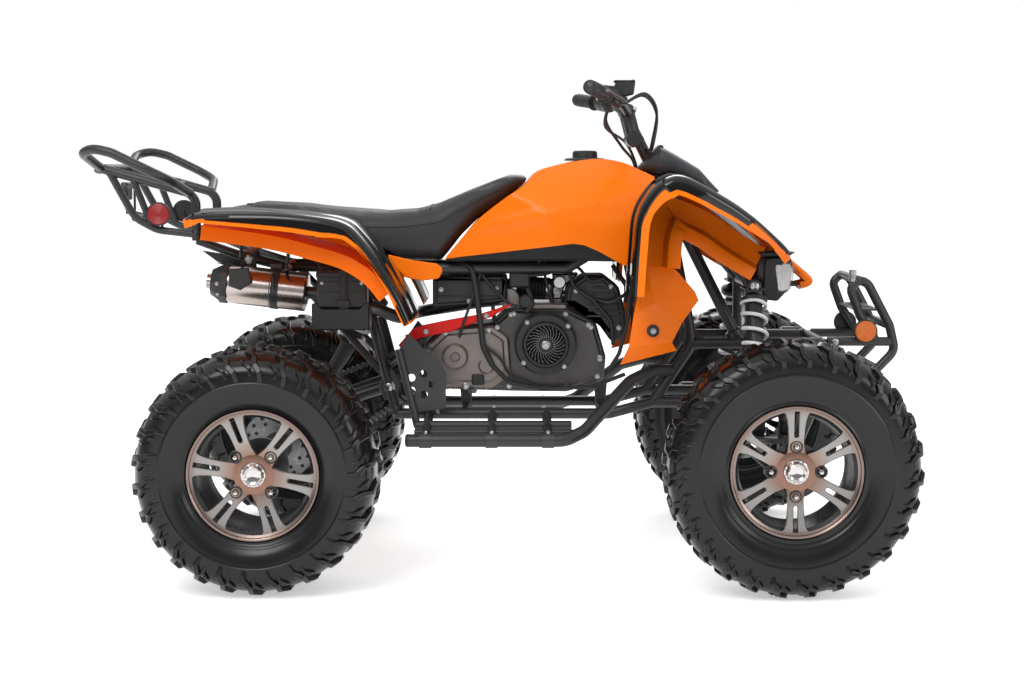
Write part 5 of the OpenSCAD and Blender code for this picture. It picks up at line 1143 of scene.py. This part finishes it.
def swell(piece, voxel, pressure, cap, frames=20):
    """Remeshes a closed piece, inflates it as cloth without gravity, and keeps each point
    within cap(points) of its start: the move is scaled by the smaller of 1 and cap / length."""
    stage = bpy.context.scene
    remesh = piece.modifiers.new("remesh", "REMESH")
    remesh.mode, remesh.voxel_size = "VOXEL", voxel
    graph = bpy.context.evaluated_depsgraph_get()
    mesh = bpy.data.meshes.new_from_object(piece.evaluated_get(graph))
    piece.modifiers.clear()
    material = piece.data.materials[0]
    piece.data = mesh
    mesh.materials.clear()
    mesh.materials.append(material)
    rest = np.empty(len(mesh.vertices) * 3)
    mesh.vertices.foreach_get("co", rest)
    rest = rest.reshape(-1, 3)
    cloth = piece.modifiers.new("cloth", "CLOTH")
    cloth.settings.use_pressure = True
    cloth.settings.uniform_pressure_force = pressure
    cloth.settings.effector_weights.gravity = 0
    cloth.point_cache.frame_start, cloth.point_cache.frame_end = 1, frames
    for step in range(1, frames + 1):
        stage.frame_set(step)
    graph = bpy.context.evaluated_depsgraph_get()
    swollen = np.empty_like(rest)
    piece.evaluated_get(graph).data.vertices.foreach_get("co", swollen.reshape(-1))
    piece.modifiers.clear()
    stage.frame_set(1)
    move = swollen - rest
    length = np.linalg.norm(move, axis=1)
    scale = np.minimum(1, cap(rest) / np.maximum(length, 1e-9))
    mesh.vertices.foreach_set("co", (rest + move * scale[:, None]).reshape(-1))
    mesh.shade_smooth()
    mesh.update()
    print(f"{piece.name}: {len(rest)} points swollen by up to {1000 * (length * scale).max():.1f} mm")


swell(seat, 0.0055, 4.0, lambda p: 0.005 * np.clip((p[:, 2] - place([(0, 0, 760)])[0, 2]) / 0.05, 0.15, 1))
smooth = seat.modifiers.new("smooth", "SUBSURF")
smooth.levels = smooth.render_levels = 1

# %% Welt seams on the saddle
from mathutils import Vector
from mathutils.bvhtree import BVHTree

work = bmesh.new()
work.from_mesh(seat.data)
skin_tree = BVHTree.FromBMesh(work)
work.free()


def on_seat(points, lift=0.6):
    """Points moved to the nearest place on the saddle and lifted off it, in millimetres."""
    laid = []
    for p in place(points):
        spot, normal, index, distance = skin_tree.find_nearest(Vector(p))
        laid.append((np.array(spot) - ORIGIN) / MM + np.array(normal) * lift)
    return np.array(laid)


along = np.linspace(0, 1, 80)
seam_x = -74 + 640 * along
seam_z = np.interp(seam_x, [-74, -40, 60, 268, 391, 464, 566], [806, 806, 806, 792, 806, 834, 884])
seam = on_seat(np.stack([seam_x, np.full(80, -150.0), seam_z], 1))
cross = on_seat(np.stack([np.full(40, 366.0), np.linspace(-112, 112, 40), np.full(40, 860.0)], 1))
make("saddle_welts", {seat_vinyl: [sweep(seam, 1.7, 8), mirrored(sweep(seam, 1.7, 8)), sweep(cross, 1.4, 8)]},
     "chassis", angle=60)

# %% [markdown]
# ## Engine and its covers
# Castings are outlines with depth and a generous chamfer, stepped up in layers, with a
# ring of screws, ribs and bosses. The fan is the only busy part: one curved blade turned
# round the crank axis as an array.
# %% Engine castings
NEAR = np.array([0, -1.0, 0])
casting = [(352, 440), (380, 392), (560, 386), (700, 384), (790, 410), (795, 470), (770, 556), (700, 590),
           (560, 590), (520, 552), (400, 545), (352, 500)]
round_case = rounded(casting + [casting[0]], 26, 5)[:-1]
cover = inset(round_case, 9)
left_case = rounded([(360, 440), (384, 400), (520, 396), (566, 430), (560, 520), (520, 548), (404, 540), (360, 498),
                     (360, 440)], 24, 5)[:-1]
screw_spots = inset(round_case, 15)[::3]
engine_cast = [slab(round_case, -70, 70, 6), slab(cover, -78, 78, 5), slab(left_case, -88, -74, 5),
               slab(inset(left_case, 14), -93, -84, 4)]
engine_cast += [turned([(0, 38), (8, 38), (14, 32), (25, 30), (29, 26), (29, 12), (24, 10)], (430, -78, 473), NEAR, 40),
                turned([(0, 22), (16, 20), (20, 15), (20, 4)], (505, -78, 450), NEAR, 32),
                turned([(0, 78), (24, 76), (29, 68), (29, 30), (33, 26), (33, 8)], (648, 74, 505), LEFT, 56),
                turned([(0, 40), (14, 36), (16, 20)], (398, 76, 470), LEFT, 40)]
for k in range(6):
    engine_cast.append(slab([(372 + 26 * k, 392), (376 + 26 * k, 392), (382 + 25 * k, 430), (378 + 25 * k, 430)],
                            -84, -72, 1))
engine_cast += [block((575, -70, 584), (700, 70, 600), 4), turned([(-60, 24), (60, 24)], (560, -2, 610), LEFT, 30)]
mounts = both(slab([(440, 386), (470, 386), (466, 350), (444, 350)], 24, 32, 1.5),
              slab([(770, 400), (800, 400), (796, 350), (774, 350)], 24, 32, 1.5))
screws = [bolt((x, -90 if x < 560 else -78, z), NEAR, 9, 6) for x, z in screw_spots]
screws += [bolt((x, 78, z), LEFT, 9, 6) for x, z in screw_spots]
drain = [turned([(0, 13), (6, 13), (7, 11), (10, 11)], (470, -40, 388), -UP, 6)]
dark_cast = finish("dark_cast", (0.06, 0.056, 0.055), 0.42, 0.8, tone=0.6, spread=0.3, patches=26.0, grain=420.0,
                   bump=0.45, depth=0.0006, wear=0.6, worn=(0.35, 0.34, 0.33))
warm_cast = finish("warm_cast", (0.19, 0.165, 0.155), 0.42, 0.85, tone=0.6, spread=0.3, patches=26.0, grain=420.0,
                   bump=0.45, depth=0.0006, wear=0.5, worn=(0.45, 0.42, 0.4))
make("engine_block", {warm_cast: engine_cast[2:], dark_cast: engine_cast[:2], frame_paint: mounts,
                      zinc: screws + drain}, "chassis", ["engine"],
     34)

# %% Fan cover with its curved blades
blade_r = np.linspace(17, 45, 8)
blade_a = 0.5 * ((blade_r - 17) / 28) ** 1.3
edge_lines = []
for shift, depth in ((-0.035, 40), (-0.02, 55), (0.02, 55), (0.035, 40)):
    a = blade_a + shift * 30 / blade_r
    edge_lines.append(np.stack([blade_r * np.cos(a), -np.full(8, depth), blade_r * np.sin(a)], 1))
blade = grid(np.array(edge_lines).transpose(1, 0, 2), wrap_v=True, caps=True)
fan_at = np.array([648, -78, 505.0])
blades = copies(blade, [(turn, fan_at) for turn, shift in turns_about_axle(26)])
fan_ring = [turned([(0, 56), (0, 75), (38, 75), (45, 70), (46, 57), (54, 54), (61, 52), (62, 48), (58, 46),
                    (40, 45), (36, 40)], fan_at, NEAR, 72),
            turned([(30, 18), (54, 18), (59, 15), (60, 6)], fan_at, NEAR, 40)]
fan_dark = [turned([(34, 46), (36, 46)], fan_at, NEAR, 48)]
guard_rings = [turned([(56, r), (57.5, r + 1), (59, r)], fan_at, NEAR, 60, loop=True) for r in (24, 31, 38)]
tabs = [turned([(20, 8), (47, 8), (48, 6)], fan_at + (69 * math.cos(a), 0, 69 * math.sin(a)), NEAR, 20)
        for a in np.radians((40, 130, 220, 310))]
fan_screws = [bolt(fan_at + (69 * math.cos(a), -47, 69 * math.sin(a)), NEAR, 8, 5)
              for a in np.radians((40, 130, 220, 310))]
make("fan_cover_shell", {black_plastic: fan_ring + fan_dark + tabs, cast_metal: [blades, *guard_rings],
                         zinc: fan_screws + [bolt(fan_at + (0, -60, 0), NEAR, 14, 6)]},
     "chassis", ["fan_cover"], 34)

# %% Cylinder cowl, carburettor, airbox, intake
cowl_line = rounded([(716, 591), (770, 558), (812, 500), (846, 520), (842, 580), (826, 640), (790, 668), (740, 668),
                     (700, 640), (690, 591), (716, 591)], 16, 4)[:-1]
louvres = [block((748 + 3 * k, -68, 566 + 14 * k), (836 - 5 * k, -60, 571 + 14 * k), 1.2) for k in range(6)]
cowl_case = [slab(cowl_line, -62, 62, 7), slab(inset(cowl_line, 12), -65, 65, 3)]
make("cylinder_shroud", {black_plastic: cowl_case + louvres,
                         zinc: [bolt((x, -64, z), NEAR, 9, 5) for x, z in ((722, 630), (806, 640), (826, 540))]},
     "chassis", ["cylinder_cowl"], 34)
carb_body = [slab([(666, 608), (686, 608), (696, 640), (728, 668), (728, 670), (666, 670)], -40, 40, 4),
             turned([(0, 24), (30, 24), (36, 18), (38, 6)], (682, -10, 616), -UP, 30),
             turned([(0, 26), (16, 26), (22, 22), (24, 8)], (690, -5, 664), UP, 30),
             turned([(0, 10), (14, 10), (15, 8)], (676, -40, 628), NEAR, 16)]
knob_face = [turned([(38, 9), (46, 9), (48, 15), (55, 15), (57, 13), (57, 4)], (682, 0, 650), NEAR, 32)]
intake = [pipe([(556, -20, 634), (610, -20, 640), (666, -20, 634)], 46, 60, 24)]
clamp_rings = [turned([(-5, 23), (-5, 25), (5, 25), (5, 23)], (x, -20, 635), AHEAD, 32, loop=True) for x in (572, 655)]
hoses = [pipe(line, d, 40, 10) for line, d in (
    ([(640, -58, 700), (650, -70, 650), (664, -60, 610), (672, -50, 560), (700, -60, 470), (716, -60, 400)], 7),
    ([(560, -84, 690), (600, -92, 668), (650, -84, 672), (690, -60, 690)], 9),
    ([(700, -30, 690), (728, -66, 690), (756, -70, 650), (790, -72, 660)], 8),
    ([(470, -70, 700), (520, -96, 640), (560, -96, 600), (600, -90, 590)], 8),
    ([(676, 40, 630), (720, 60, 690), (820, 70, 760), (850, 64, 880)], 6),
    ([(500, -80, 700), (470, -104, 610), (452, -104, 560), (440, -96, 520)], 7),
    ([(812, -40, 690), (846, -66, 640), (862, -70, 560), (858, -40, 470)], 12),
    ([(770, -66, 610), (800, -84, 600), (838, -78, 620), (868, -40, 640)], 9),
    ([(424, -84, 694), (470, -100, 694), (480, -106, 640), (490, -108, 564), (498, -106, 496), (520, -98, 452)], 14),
    ([(520, -98, 452), (560, -104, 410), (640, -104, 396), (760, -100, 400), (840, -92, 430)], 10),
    ([(500, -106, 500), (540, -112, 470), (560, -104, 430), (620, -100, 404)], 7),
    ([(600, -60, 690), (604, -84, 640), (618, -96, 600), (600, -108, 580)], 12),
    ([(700, -72, 690), (716, -84, 640), (760, -84, 612), (806, -80, 560), (812, -78, 500)], 9),
    ([(840, -60, 700), (852, -80, 640), (846, -90, 560), (826, -92, 480), (800, -96, 440)], 10))]
hoses += [turned([(0, 17), (14, 17), (18, 13), (18, 4)], (600, -84, 606), NEAR, 24),
          *[turned([(-3, 23), (0, 26), (3, 23)], (584 + 8 * k, -20, 636), AHEAD, 30, loop=True) for k in range(9)]]
coil_parts = [block((560, -96, 640), (610, -70, 676), 4), block((840, -70, 600), (866, -30, 650), 4),
              block((470, -100, 404), (500, -80, 430), 3)]
make("carburettor_body", {cast_metal: carb_body, chrome: knob_face, rubber: intake + hoses + coil_parts,
                          zinc: clamp_rings},
     "chassis", ["carburettor"], 34)
air_line = rounded([(375, 588), (500, 597), (556, 604), (556, 668), (375, 668), (375, 588)], 12, 4)[:-1]
air_case = [slab(air_line, -74, 56, 5), slab(inset(air_line, 10), -80, 62, 3),
            *[block((388, -82, z), (544, -76, z + 4), 1.2) for z in (616, 652)],
            pipe([(520, -60, 596), (524, -70, 560), (540, -72, 530)], 10)]
make("airbox_case", {black_plastic: air_case, zinc: [bolt((x, -80, z), NEAR, 9, 4) for x, z in
                                                     ((396, 634), (530, 636), (464, 606))]},
     "chassis", ["airbox"], 34)

# %% Silencer, its hanger and the exhaust pipe
steel_skin = finish("steel_skin", (0.46, 0.4, 0.37), 0.24, 1.0, tone=0.7, spread=0.25, patches=5.0, grain=120.0,
                    bump=0.05, wear=0.1)
rear_tip, front_tip = np.array([-118, -150, 655.0]), np.array([84, -150, 632.0])
axis = unit(front_tip - rear_tip)
can = turned([(0, 40), (2, 44.5), (6, 46), (196, 46), (200, 43), (203, 30)], rear_tip, axis, 56)
end_cap = turned([(-28, 20), (-27, 31), (-22, 34), (2, 48.5), (14, 49), (17, 46)], rear_tip, axis, 10)
outlet = turned([(-38, 15), (-38, 18), (-24, 18), (-24, 15)], rear_tip, axis, 32, loop=True)
strap_at = rear_tip + axis * 126
strap = turned([(-9, 46.3), (-9, 48), (9, 48), (9, 46.3)], strap_at, axis, 56, loop=True)
strap_parts = [turned([(-13, 46), (-11, 47), (-11, 46)], strap_at, axis, 40, loop=True),
               pipe([strap_at + (0, -48, -2), strap_at + (0, -54, 4), strap_at + (0, -50, 30)], 6, 10, 8),
               slab([(-10, 700), (24, 700), (20, 684), (-4, 684)], -150, -146)]
hanger = [slab([(-74, 716), (-46, 716), (-42, 690), (-52, 664), (-80, 668), (-84, 690)], -126, -118, 1.5),
          slab([(-96, 690), (-50, 694), (-44, 660), (-70, 640), (-98, 650)], -202, -197, 2),
          block((-78, -200, 676), (-52, -120, 684), 2, 2)]
rivets = [bolt(rear_tip + axis * -8 + 45 * (math.cos(a) * np.array([0, 1, 0]) + math.sin(a) * UP),
               math.cos(a) * np.array([0, 1, 0]) + math.sin(a) * UP, 7, 4)
          for a in np.radians((30, 90, 180, 270, 330, 215))]
exhaust = pipe([(84, -150, 632), (130, -150, 626), (235, -142, 596), (292, -92, 568), (304, 0, 562), (330, 80, 568),
                (480, 100, 590), (640, 100, 608), (756, 94, 606), (756, 64, 606)], 30, 60, 20)
make("exhaust_system", {steel_skin: [can, outlet], black_plastic: [end_cap],
                        frame_paint: hanger + strap_parts + [strap],
                        dark_metal: [exhaust], zinc: rivets + [bolt((-60, -127, 704), NEAR, 10, 5)]},
     "chassis", ["silencer"], 30)

# %% Battery in its tray
battery_parts = [block((114, -248, 603), (230, -182, 676), 3), block((112, -250, 672), (232, -180, 687), 3),
                 block((118, -249.5, 640), (226, -247, 664), 1)]
strap_loop = [block((166, -253, 600), (186, -250, 692), 1.2), block((166, -253, 688), (186, -178, 692), 1.2, 2),
              block((160, -257, 604), (192, -251, 622), 2), block((170, -255, 626), (182, -252, 680), 1)]
terminal = [turned([(0, 7), (10, 7), (14, 9), (22, 9), (25, 5)], (206, -236, 676), (0.2, -0.4, 0.6), 20),
            pipe([(210, -246, 690), (190, -256, 690), (172, -250, 696)], 7, 12, 8)]
cables = [pipe([(226, -230, 688), (250, -226, 680), (262, -180, 690), (250, -110, 700)], 6),
          pipe([(128, -214, 688), (112, -204, 704), (100, -150, 712), (96, -100, 706)], 6)]
make("battery_box", {black_plastic: battery_parts, rubber: strap_loop + cables, red_paint: terminal,
                     zinc: [bolt((x, -249, 660), NEAR, 6, 4) for x in (126, 218)]},
     "chassis", ["battery"], 34)

# %% Red guard band
band_line = rounded([(573, 604), (528, 588), (483, 574), (420, 563), (347, 548), (328, 540), (292, 500), (300, 494),
                     (344, 518), (418, 533), (462, 550), (518, 569), (573, 604)], 10, 4)[:-1]
make("guard_band", {red_paint: [slab(band_line, -101, -85, 2)],
                    zinc: [bolt((x, -101, z), NEAR, 9, 5) for x, z in ((360, 534), (505, 572))]},
     "chassis", ["chain_guard"], 34)

# %% [markdown]
# ## Springs, axle and steering links
# A coil spring is a helix with a flat half turn at each end. The drive chain is a pair of
# plates and a roller repeated along the loop round both chain wheels.
# %% Springs and dampers
near_top, near_foot = np.array([1136, 176, 650.0]), np.array([1136, 296, 318.0])
rear_top, rear_foot = np.array([252, 0, 640.0]), np.array([118, 0, 418.0])


def damper(top, foot, foot_off, wire, turns, sleeve):
    """Spring coil, body, rod, seats and eyes between a top pin and a foot pin."""
    axis = unit(foot - top)
    length = np.linalg.norm(foot - top)
    coil_low = length - foot_off
    spring = coil(top + axis * 42, top + axis * (coil_low - 2), 28, wire, turns)
    body = turned([(22, 16), (30, 20), (length * sleeve, 19), (length * sleeve + 3, 15)], top, axis, 36)
    rod = turned([(length * sleeve, 6.5), (length - 18, 6.5)], top, axis, 20)
    lower = turned([(coil_low - 4, 30), (coil_low, 32.5), (coil_low + 5, 32.5), (coil_low + 10, 20), (length - 14, 17),
                    (length - 8, 12)], top, axis, 36)
    upper = turned([(26, 20), (32, 32.5), (40, 32.5), (43, 30)], top, axis, 36)
    eyes = [turned([(-13, 8), (-13, 15), (-10, 17), (10, 17), (13, 15), (13, 8)], p, d, 28, loop=True)
            for p, d in ((top, LEFT), (foot, LEFT if abs(top[1]) < 1 else AHEAD))]
    return spring, [body, lower, upper, *eyes], rod


front_spring, front_body, front_rod = damper(near_top, near_foot, 96, 9.5, 7, 0.62)
rear_spring, rear_body, rear_rod = damper(rear_top, rear_foot, 96, 8.5, 6, 0.6)
make("spring_coils", {white_paint: both(front_spring) + [rear_spring]}, "chassis", ["springs"], 50)
make("damper_bodies", {black_plastic: both(*front_body) + rear_body, chrome: both(front_rod) + [rear_rod]},
     "chassis", ["dampers"], 34)

# %% Chain, chain wheels, axle and brake disc
small, large = (398.0, 470.0, 38.0), (0.0, 256.0, 92.0)
gap = np.array([small[0] - large[0], small[1] - large[1]])
reach = np.linalg.norm(gap)
lean = math.atan2(gap[1], gap[0])
open_angle = math.acos((large[2] - small[2]) / reach)
arc = lambda wheel, a, b: [(wheel[0] + wheel[2] * math.cos(t), wheel[1] + wheel[2] * math.sin(t))
                           for t in np.linspace(a, b, 60)]
loop = np.array(arc(large, lean + open_angle, lean + 2 * math.pi - open_angle)
                + arc(small, lean - open_angle, lean + open_angle))
loop = np.vstack([loop, loop[:1]])
length = np.concatenate([[0], np.cumsum(np.linalg.norm(np.diff(loop, axis=0), axis=1))])
links = int(length[-1] / 13.2)
at = (np.arange(links) + 0.5) * length[-1] / links
spots = np.stack([np.interp(at, length, loop[:, k]) for k in (0, 1)], 1)
ahead = unit(np.roll(spots, -1, 0) - np.roll(spots, 1, 0))
plate_line = 7.4 * np.array([(math.cos(t), 0.62 * math.sin(t)) for t in np.linspace(0, 2 * np.pi, 10)[:-1]])
plate_line[:, 0] *= 1.1
outer_plate = merge([slab(plate_line, 4.6, 6.2, 0.3), slab(plate_line, -6.2, -4.6, 0.3)])
inner_plate = merge([slab(plate_line, 3.0, 4.4, 0.3), slab(plate_line, -4.4, -3.0, 0.3)])
roller = turned([(-3.4, 4), (3.4, 4)], (6.6, 0, 0), sides=8)
moves = [(np.array([[c, 0, s], [0, 1, 0], [-s, 0, c]]), np.array([x, 95.5, z]))
         for (x, z), (c, s) in zip(spots, ahead)]
chain = [copies(outer_plate, moves[::2]), copies(inner_plate, moves[1::2]), copies(roller, moves)]


def toothed(r, teeth, low, high):
    """A chain wheel: a disc whose rim rises and falls with each tooth."""
    a = np.linspace(0, 2 * np.pi, teeth * 4, endpoint=False)
    edge = r + 3.2 * np.clip(np.cos(a * teeth), -0.6, 1)
    return slab(np.stack([edge * np.cos(a), edge * np.sin(a)], 1), low, high, 0.8)


def moved(shape, shift):
    """A shape moved by a vector."""
    return shape[0] + np.asarray(shift, float), shape[1]


make("chain_links", {dark_metal: chain + [moved(toothed(36, 13, 93, 98), (398, 0, 470))]}, "chassis",
     ["drive_chain"], 30)
disc = turned([(-2, 30), (-2, 88), (2, 88), (2, 30)], (0, -95.5, 256), sides=72, loop=True)
# The drilled holes are black plugs: painted shade in place of the open holes.
holes = [turned([(-2.4, 4.6), (2.4, 4.6)], (r * math.cos(a), -95.5, 256 + r * math.sin(a)), sides=12)
         for r, count in ((60, 12), (76, 18)) for a in np.arange(count) * 2 * np.pi / count]
axle = [turned([(-400, 17), (400, 17)], (0, 0, 256), sides=28)]
ends = both(turned([(330, 18), (350, 40), (372, 40), (376, 62), (384, 62), (386, 30), (499, 22), (499, 10)],
                   (0, 0, 256), LEFT, 40))
carrier = [turned([(-103, 18), (-103, 34), (-90, 36), (-78, 30), (-78, 18)], (0, 0, 256), sides=36, loop=True),
           turned([(78, 18), (78, 30), (90, 38), (100, 38), (104, 30), (104, 18)], (0, 0, 256), sides=36, loop=True)]
wheel_plate = moved(toothed(92, 38, 93, 98), (0, 0, 256))
make("axle_parts", {dark_metal: axle + ends + carrier + [wheel_plate], zinc: [disc], pocket_black_and_hole_shade: holes},
     "rear_axle", ["rear_axle"], 34)

# %% Uprights and tie rods
RAKE = math.radians(27)
for side_name, sign in (("left", 1), ("right", -1)):
    flip = (lambda s: s) if sign > 0 else mirrored
    post = turned([(-46, 13), (-44, 15), (-30, 17), (30, 17), (44, 15), (46, 13)], (1186, 368.5, 279.5), UP, 30)
    hub = turned([(0, 30), (20, 30), (24, 24), (54, 22), (58, 18), (92, 17), (92, 8)], (1186, 380, 266.5), LEFT, 36)
    arm = slab([(1198, 380), (1172, 384), (1100, 380), (1080, 372), (1080, 362), (1100, 356), (1172, 352), (1198, 356)],
               304, 317, 2, 2)
    make(f"upright_{side_name}_cast", {cast_metal: [flip(s) for s in (post, hub, arm)]},
         f"upright_{side_name}", [f"upright_{side_name}"], 34)
    up_stem = np.array([-math.sin(RAKE), 0, math.cos(RAKE)])
    pin = np.array([1151 - 84 * up_stem[2], 16, 452 + 84 * up_stem[0]])
    eye = np.array([1088, 368.5, 330.5])
    inner = pin + 24 * up_stem
    along = unit(eye - inner)
    rod = [pipe([inner, eye], 11, 45, 16),
           turned([(14, 5), (14, 8.5), (40, 8.5), (44, 6)], inner, along, 6),
           turned([(14, 5), (14, 8.5), (40, 8.5), (44, 6)], eye, -along, 6)]
    joints = [turned([(-6, 10), (-5, 12), (5, 12), (6, 10)], eye, UP, 26),
              turned([(5, 11), (6, 12), (32, 12), (33, 10)], pin, up_stem, 26),
              turned([(-8, 5), (26, 5)], pin, up_stem, 16), turned([(-14, 7), (-7, 7)], pin, up_stem, 6)]
    make(f"tie_rod_{side_name}_link", {zinc: [flip(s) for s in rod], dark_metal: [flip(s) for s in joints]},
         f"tie_rod_{side_name}", [f"tie_rod_{side_name}"], 34)

# %% [markdown]
# ## Handlebar and controls
# The bar, its clamp and the long steering stem turn together with the grips, levers and
# switch boxes. The cables leave the levers and dive behind the cowl.
# %% Handlebar, clamp and stem
bar_line = [(739, -376, 1106), (825, -120, 1082), (845, -56, 1060), (845, 56, 1060), (825, 120, 1082), (739, 376, 1106)]
top_pin = (863, 0, 996)
stem_dir = np.array([-math.sin(math.radians(27)), 0, math.cos(math.radians(27))])
clamp = [turned([(-52, 18), (-50, 20), (50, 20), (52, 18)], top_pin, sides=30)]
clamp += both(turned([(0, 15), (3, 17), (60, 17), (64, 15)], (863, 33, 996), (-17, 0, 64), 26),
              block((828, 18, 1050), (862, 50, 1074), 5))
stem = turned([(0, 14), (660, 14)], (1151, 0, 452), stem_dir, 26)
arm_plate = np.array([(20, -16), (20, 16), (-98, 30), (-98, -30)], float)
arm_shape = slab(arm_plate, -4, 4, 1.5, 2)
lean = math.radians(27)
turn = np.array([[math.cos(lean), 0, math.sin(lean)], [0, 1, 0], [-math.sin(lean), 0, math.cos(lean)]])
arm_shape = copies(arm_shape, [(turn, np.array([1151, 0, 452.0]))])
bar_bolts = both(*[bolt((862, y, 1066), (0.7, 0, 0.7), 9, 7) for y in (24, 44)])
pad = [turned([(-46, 16), (-42, 19), (42, 19), (46, 16)], (846, 0, 1062), sides=24)]
make("steering_bar", {frame_paint: [pipe(bar_line, 22.2, 60, 18), stem, arm_shape, *clamp],
                      rubber: pad, zinc: bar_bolts}, "steering", ["handlebar"], 40)

# %% Grips, switch boxes, levers and cables


def bar_at(y):
    """The centre of the straight outer run of the bar at a distance y from the centre plane."""
    t = (y - 120) / 256
    return np.array([825 - 86 * t, y, 1082 + 24 * t])


out = unit(bar_at(376) - bar_at(120))
ribs = np.arange(0, 118, 5.0)
grip_profile = [(0, 12), (0, 20), (5, 21), (8, 16.5)]
for r in ribs[2:]:
    grip_profile += [(r, 15.2), (r + 1.5, 16.6), (r + 3.5, 16.6), (r + 5, 15.2)]
grip_profile += [(126, 16.4), (131, 16), (133, 12)]
grip = turned(grip_profile, bar_at(248), out, 30)
switch_case = [turned([(0, 16), (2, 19.5), (24, 20), (26, 18.5), (28, 20), (62, 19.5), (66, 15)], bar_at(152), out, 34),
               slab([(808, 1086), (852, 1098), (856, 1126), (846, 1130), (812, 1128), (804, 1110)], 122, 168, 4)]
lever_line = [bar_at(y) + shift for y, shift in (
    (176, (22, 0, -4)), (200, (32, 0, -10)), (260, (34, 0, -8)), (346, (32, 0, -4)))]
lever_width = np.interp(np.linspace(0, 1, 24), [0, 0.2, 0.9, 1], [6.5, 5, 4.5, 6])
lever = sweep(smooth_curve(lever_line, 24), lever_width, 12, 0.7)
perch = [turned([(0, 13), (0, 17), (22, 17), (22, 13)], bar_at(170), out, 26),
         block(bar_at(182) + (10, -10, -14), bar_at(182) + (32, 10, 4), 3)]
lid = block((806, 120, 1126), (856, 166, 1131), 2)
buttons = [turned([(0, 5), (5, 5), (6, 4)], bar_at(s) + (-14, 0, 12), (-0.7, 0, 0.7), 14) for s in (172, 190, 206)]
throttle = slab([(770, 1082), (790, 1078), (800, 1062), (794, 1056), (776, 1068)], -206, -196, 2)
make("bar_fittings", {
    rubber: both(grip), black_plastic: both(*switch_case, *perch, lid) + [throttle],
    dark_metal: both(lever), red_paint: [mirrored(buttons[0])] + [buttons[0]],
    white_paint: both(buttons[1]),
    zinc: both(*[bolt((x, y, 1130), UP, 6, 3) for x, y in ((812, 128), (850, 160))]),
}, "steering", ["bar_controls"], 34)
bar_cables = [
    [(832, -178, 1078), (880, -150, 1100), (912, -90, 1062), (906, -40, 990), (896, -24, 940), (900, -20, 880)],
    [(836, 178, 1078), (896, 150, 1108), (926, 90, 1062), (916, 40, 990), (900, 24, 940), (904, 20, 880)],
    [(812, -150, 1090), (790, -110, 1040), (830, -50, 980), (862, -30, 940), (872, -20, 880)],
    [(812, 150, 1090), (800, 110, 1030), (846, 50, 990), (870, 30, 940), (880, 18, 880)],
]
cable_shapes = [sweep(smooth_curve(line, 50), 3.4, 10) for line in bar_cables]
cable_clip = [slab([(858, 1004), (880, 1010), (888, 996), (866, 990)], -30, 30, 2)]
make("bar_cables", {rubber: cable_shapes, black_plastic: cable_clip}, "steering", angle=50)

# %% Reflectors
reflector_red = finish("reflector_red", (0.31, 0.0016, 0.0024), 0.34, tone=0.4, patches=160.0, grain=300.0, bump=0.6,
                       depth=0.001, Coat_Weight=0.15, Coat_Roughness=0.1)
reflector_amber = finish("reflector_amber", (0.62, 0.13, 0.003), 0.34, tone=0.4, patches=160.0, grain=300.0, bump=0.6,
                         depth=0.001, Coat_Weight=0.15, Coat_Roughness=0.1)


def disc_lens(at, direction, radius):
    """A reflector: a lens with concentric steps in a black rim."""
    steps = [(0, radius - 2), (6.5, radius - 2), (7.5, radius - 4)]
    for k, r in enumerate(np.arange(radius - 7, 4, -3.0)):
        steps += [(7.9 + 0.12 * k, r + 1.5), (7.5 + 0.12 * k, r)]
    rim = turned([(-1.5, radius - 3), (-1.5, radius), (7.6, radius), (8.2, radius - 2.4), (6, radius - 2.4)],
                 at, direction, 48)
    return turned(steps, at, direction, 48), rim


lens_shape, rim = disc_lens((-266, 161.5, 818), LEFT, 28)
stalk = pipe([(-266, 158, 818), (-264, 152, 800), (-258, 150, 782)], 6)
make("red_discs", {reflector_red: both(lens_shape), black_plastic: both(rim, stalk)}, "chassis",
     ["red_reflectors"], 24)
lens_shape, rim = disc_lens((1412, 129.5, 538), LEFT, 28)
make("amber_discs", {reflector_amber: both(lens_shape), black_plastic: both(rim)}, "chassis",
     ["amber_reflectors"], 24)

# %% [markdown]
# The heel guards keep their exact frame geometry, holes and all, and only take a finish.
# %% Heel guards
guard = bpy.data.objects["heel_guards"]
guard.data.materials.clear()
guard.data.materials.append(frame_paint)
guard.data.set_sharp_from_angle(angle=math.radians(30))
# %% Bounds of everything shown
low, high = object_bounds()
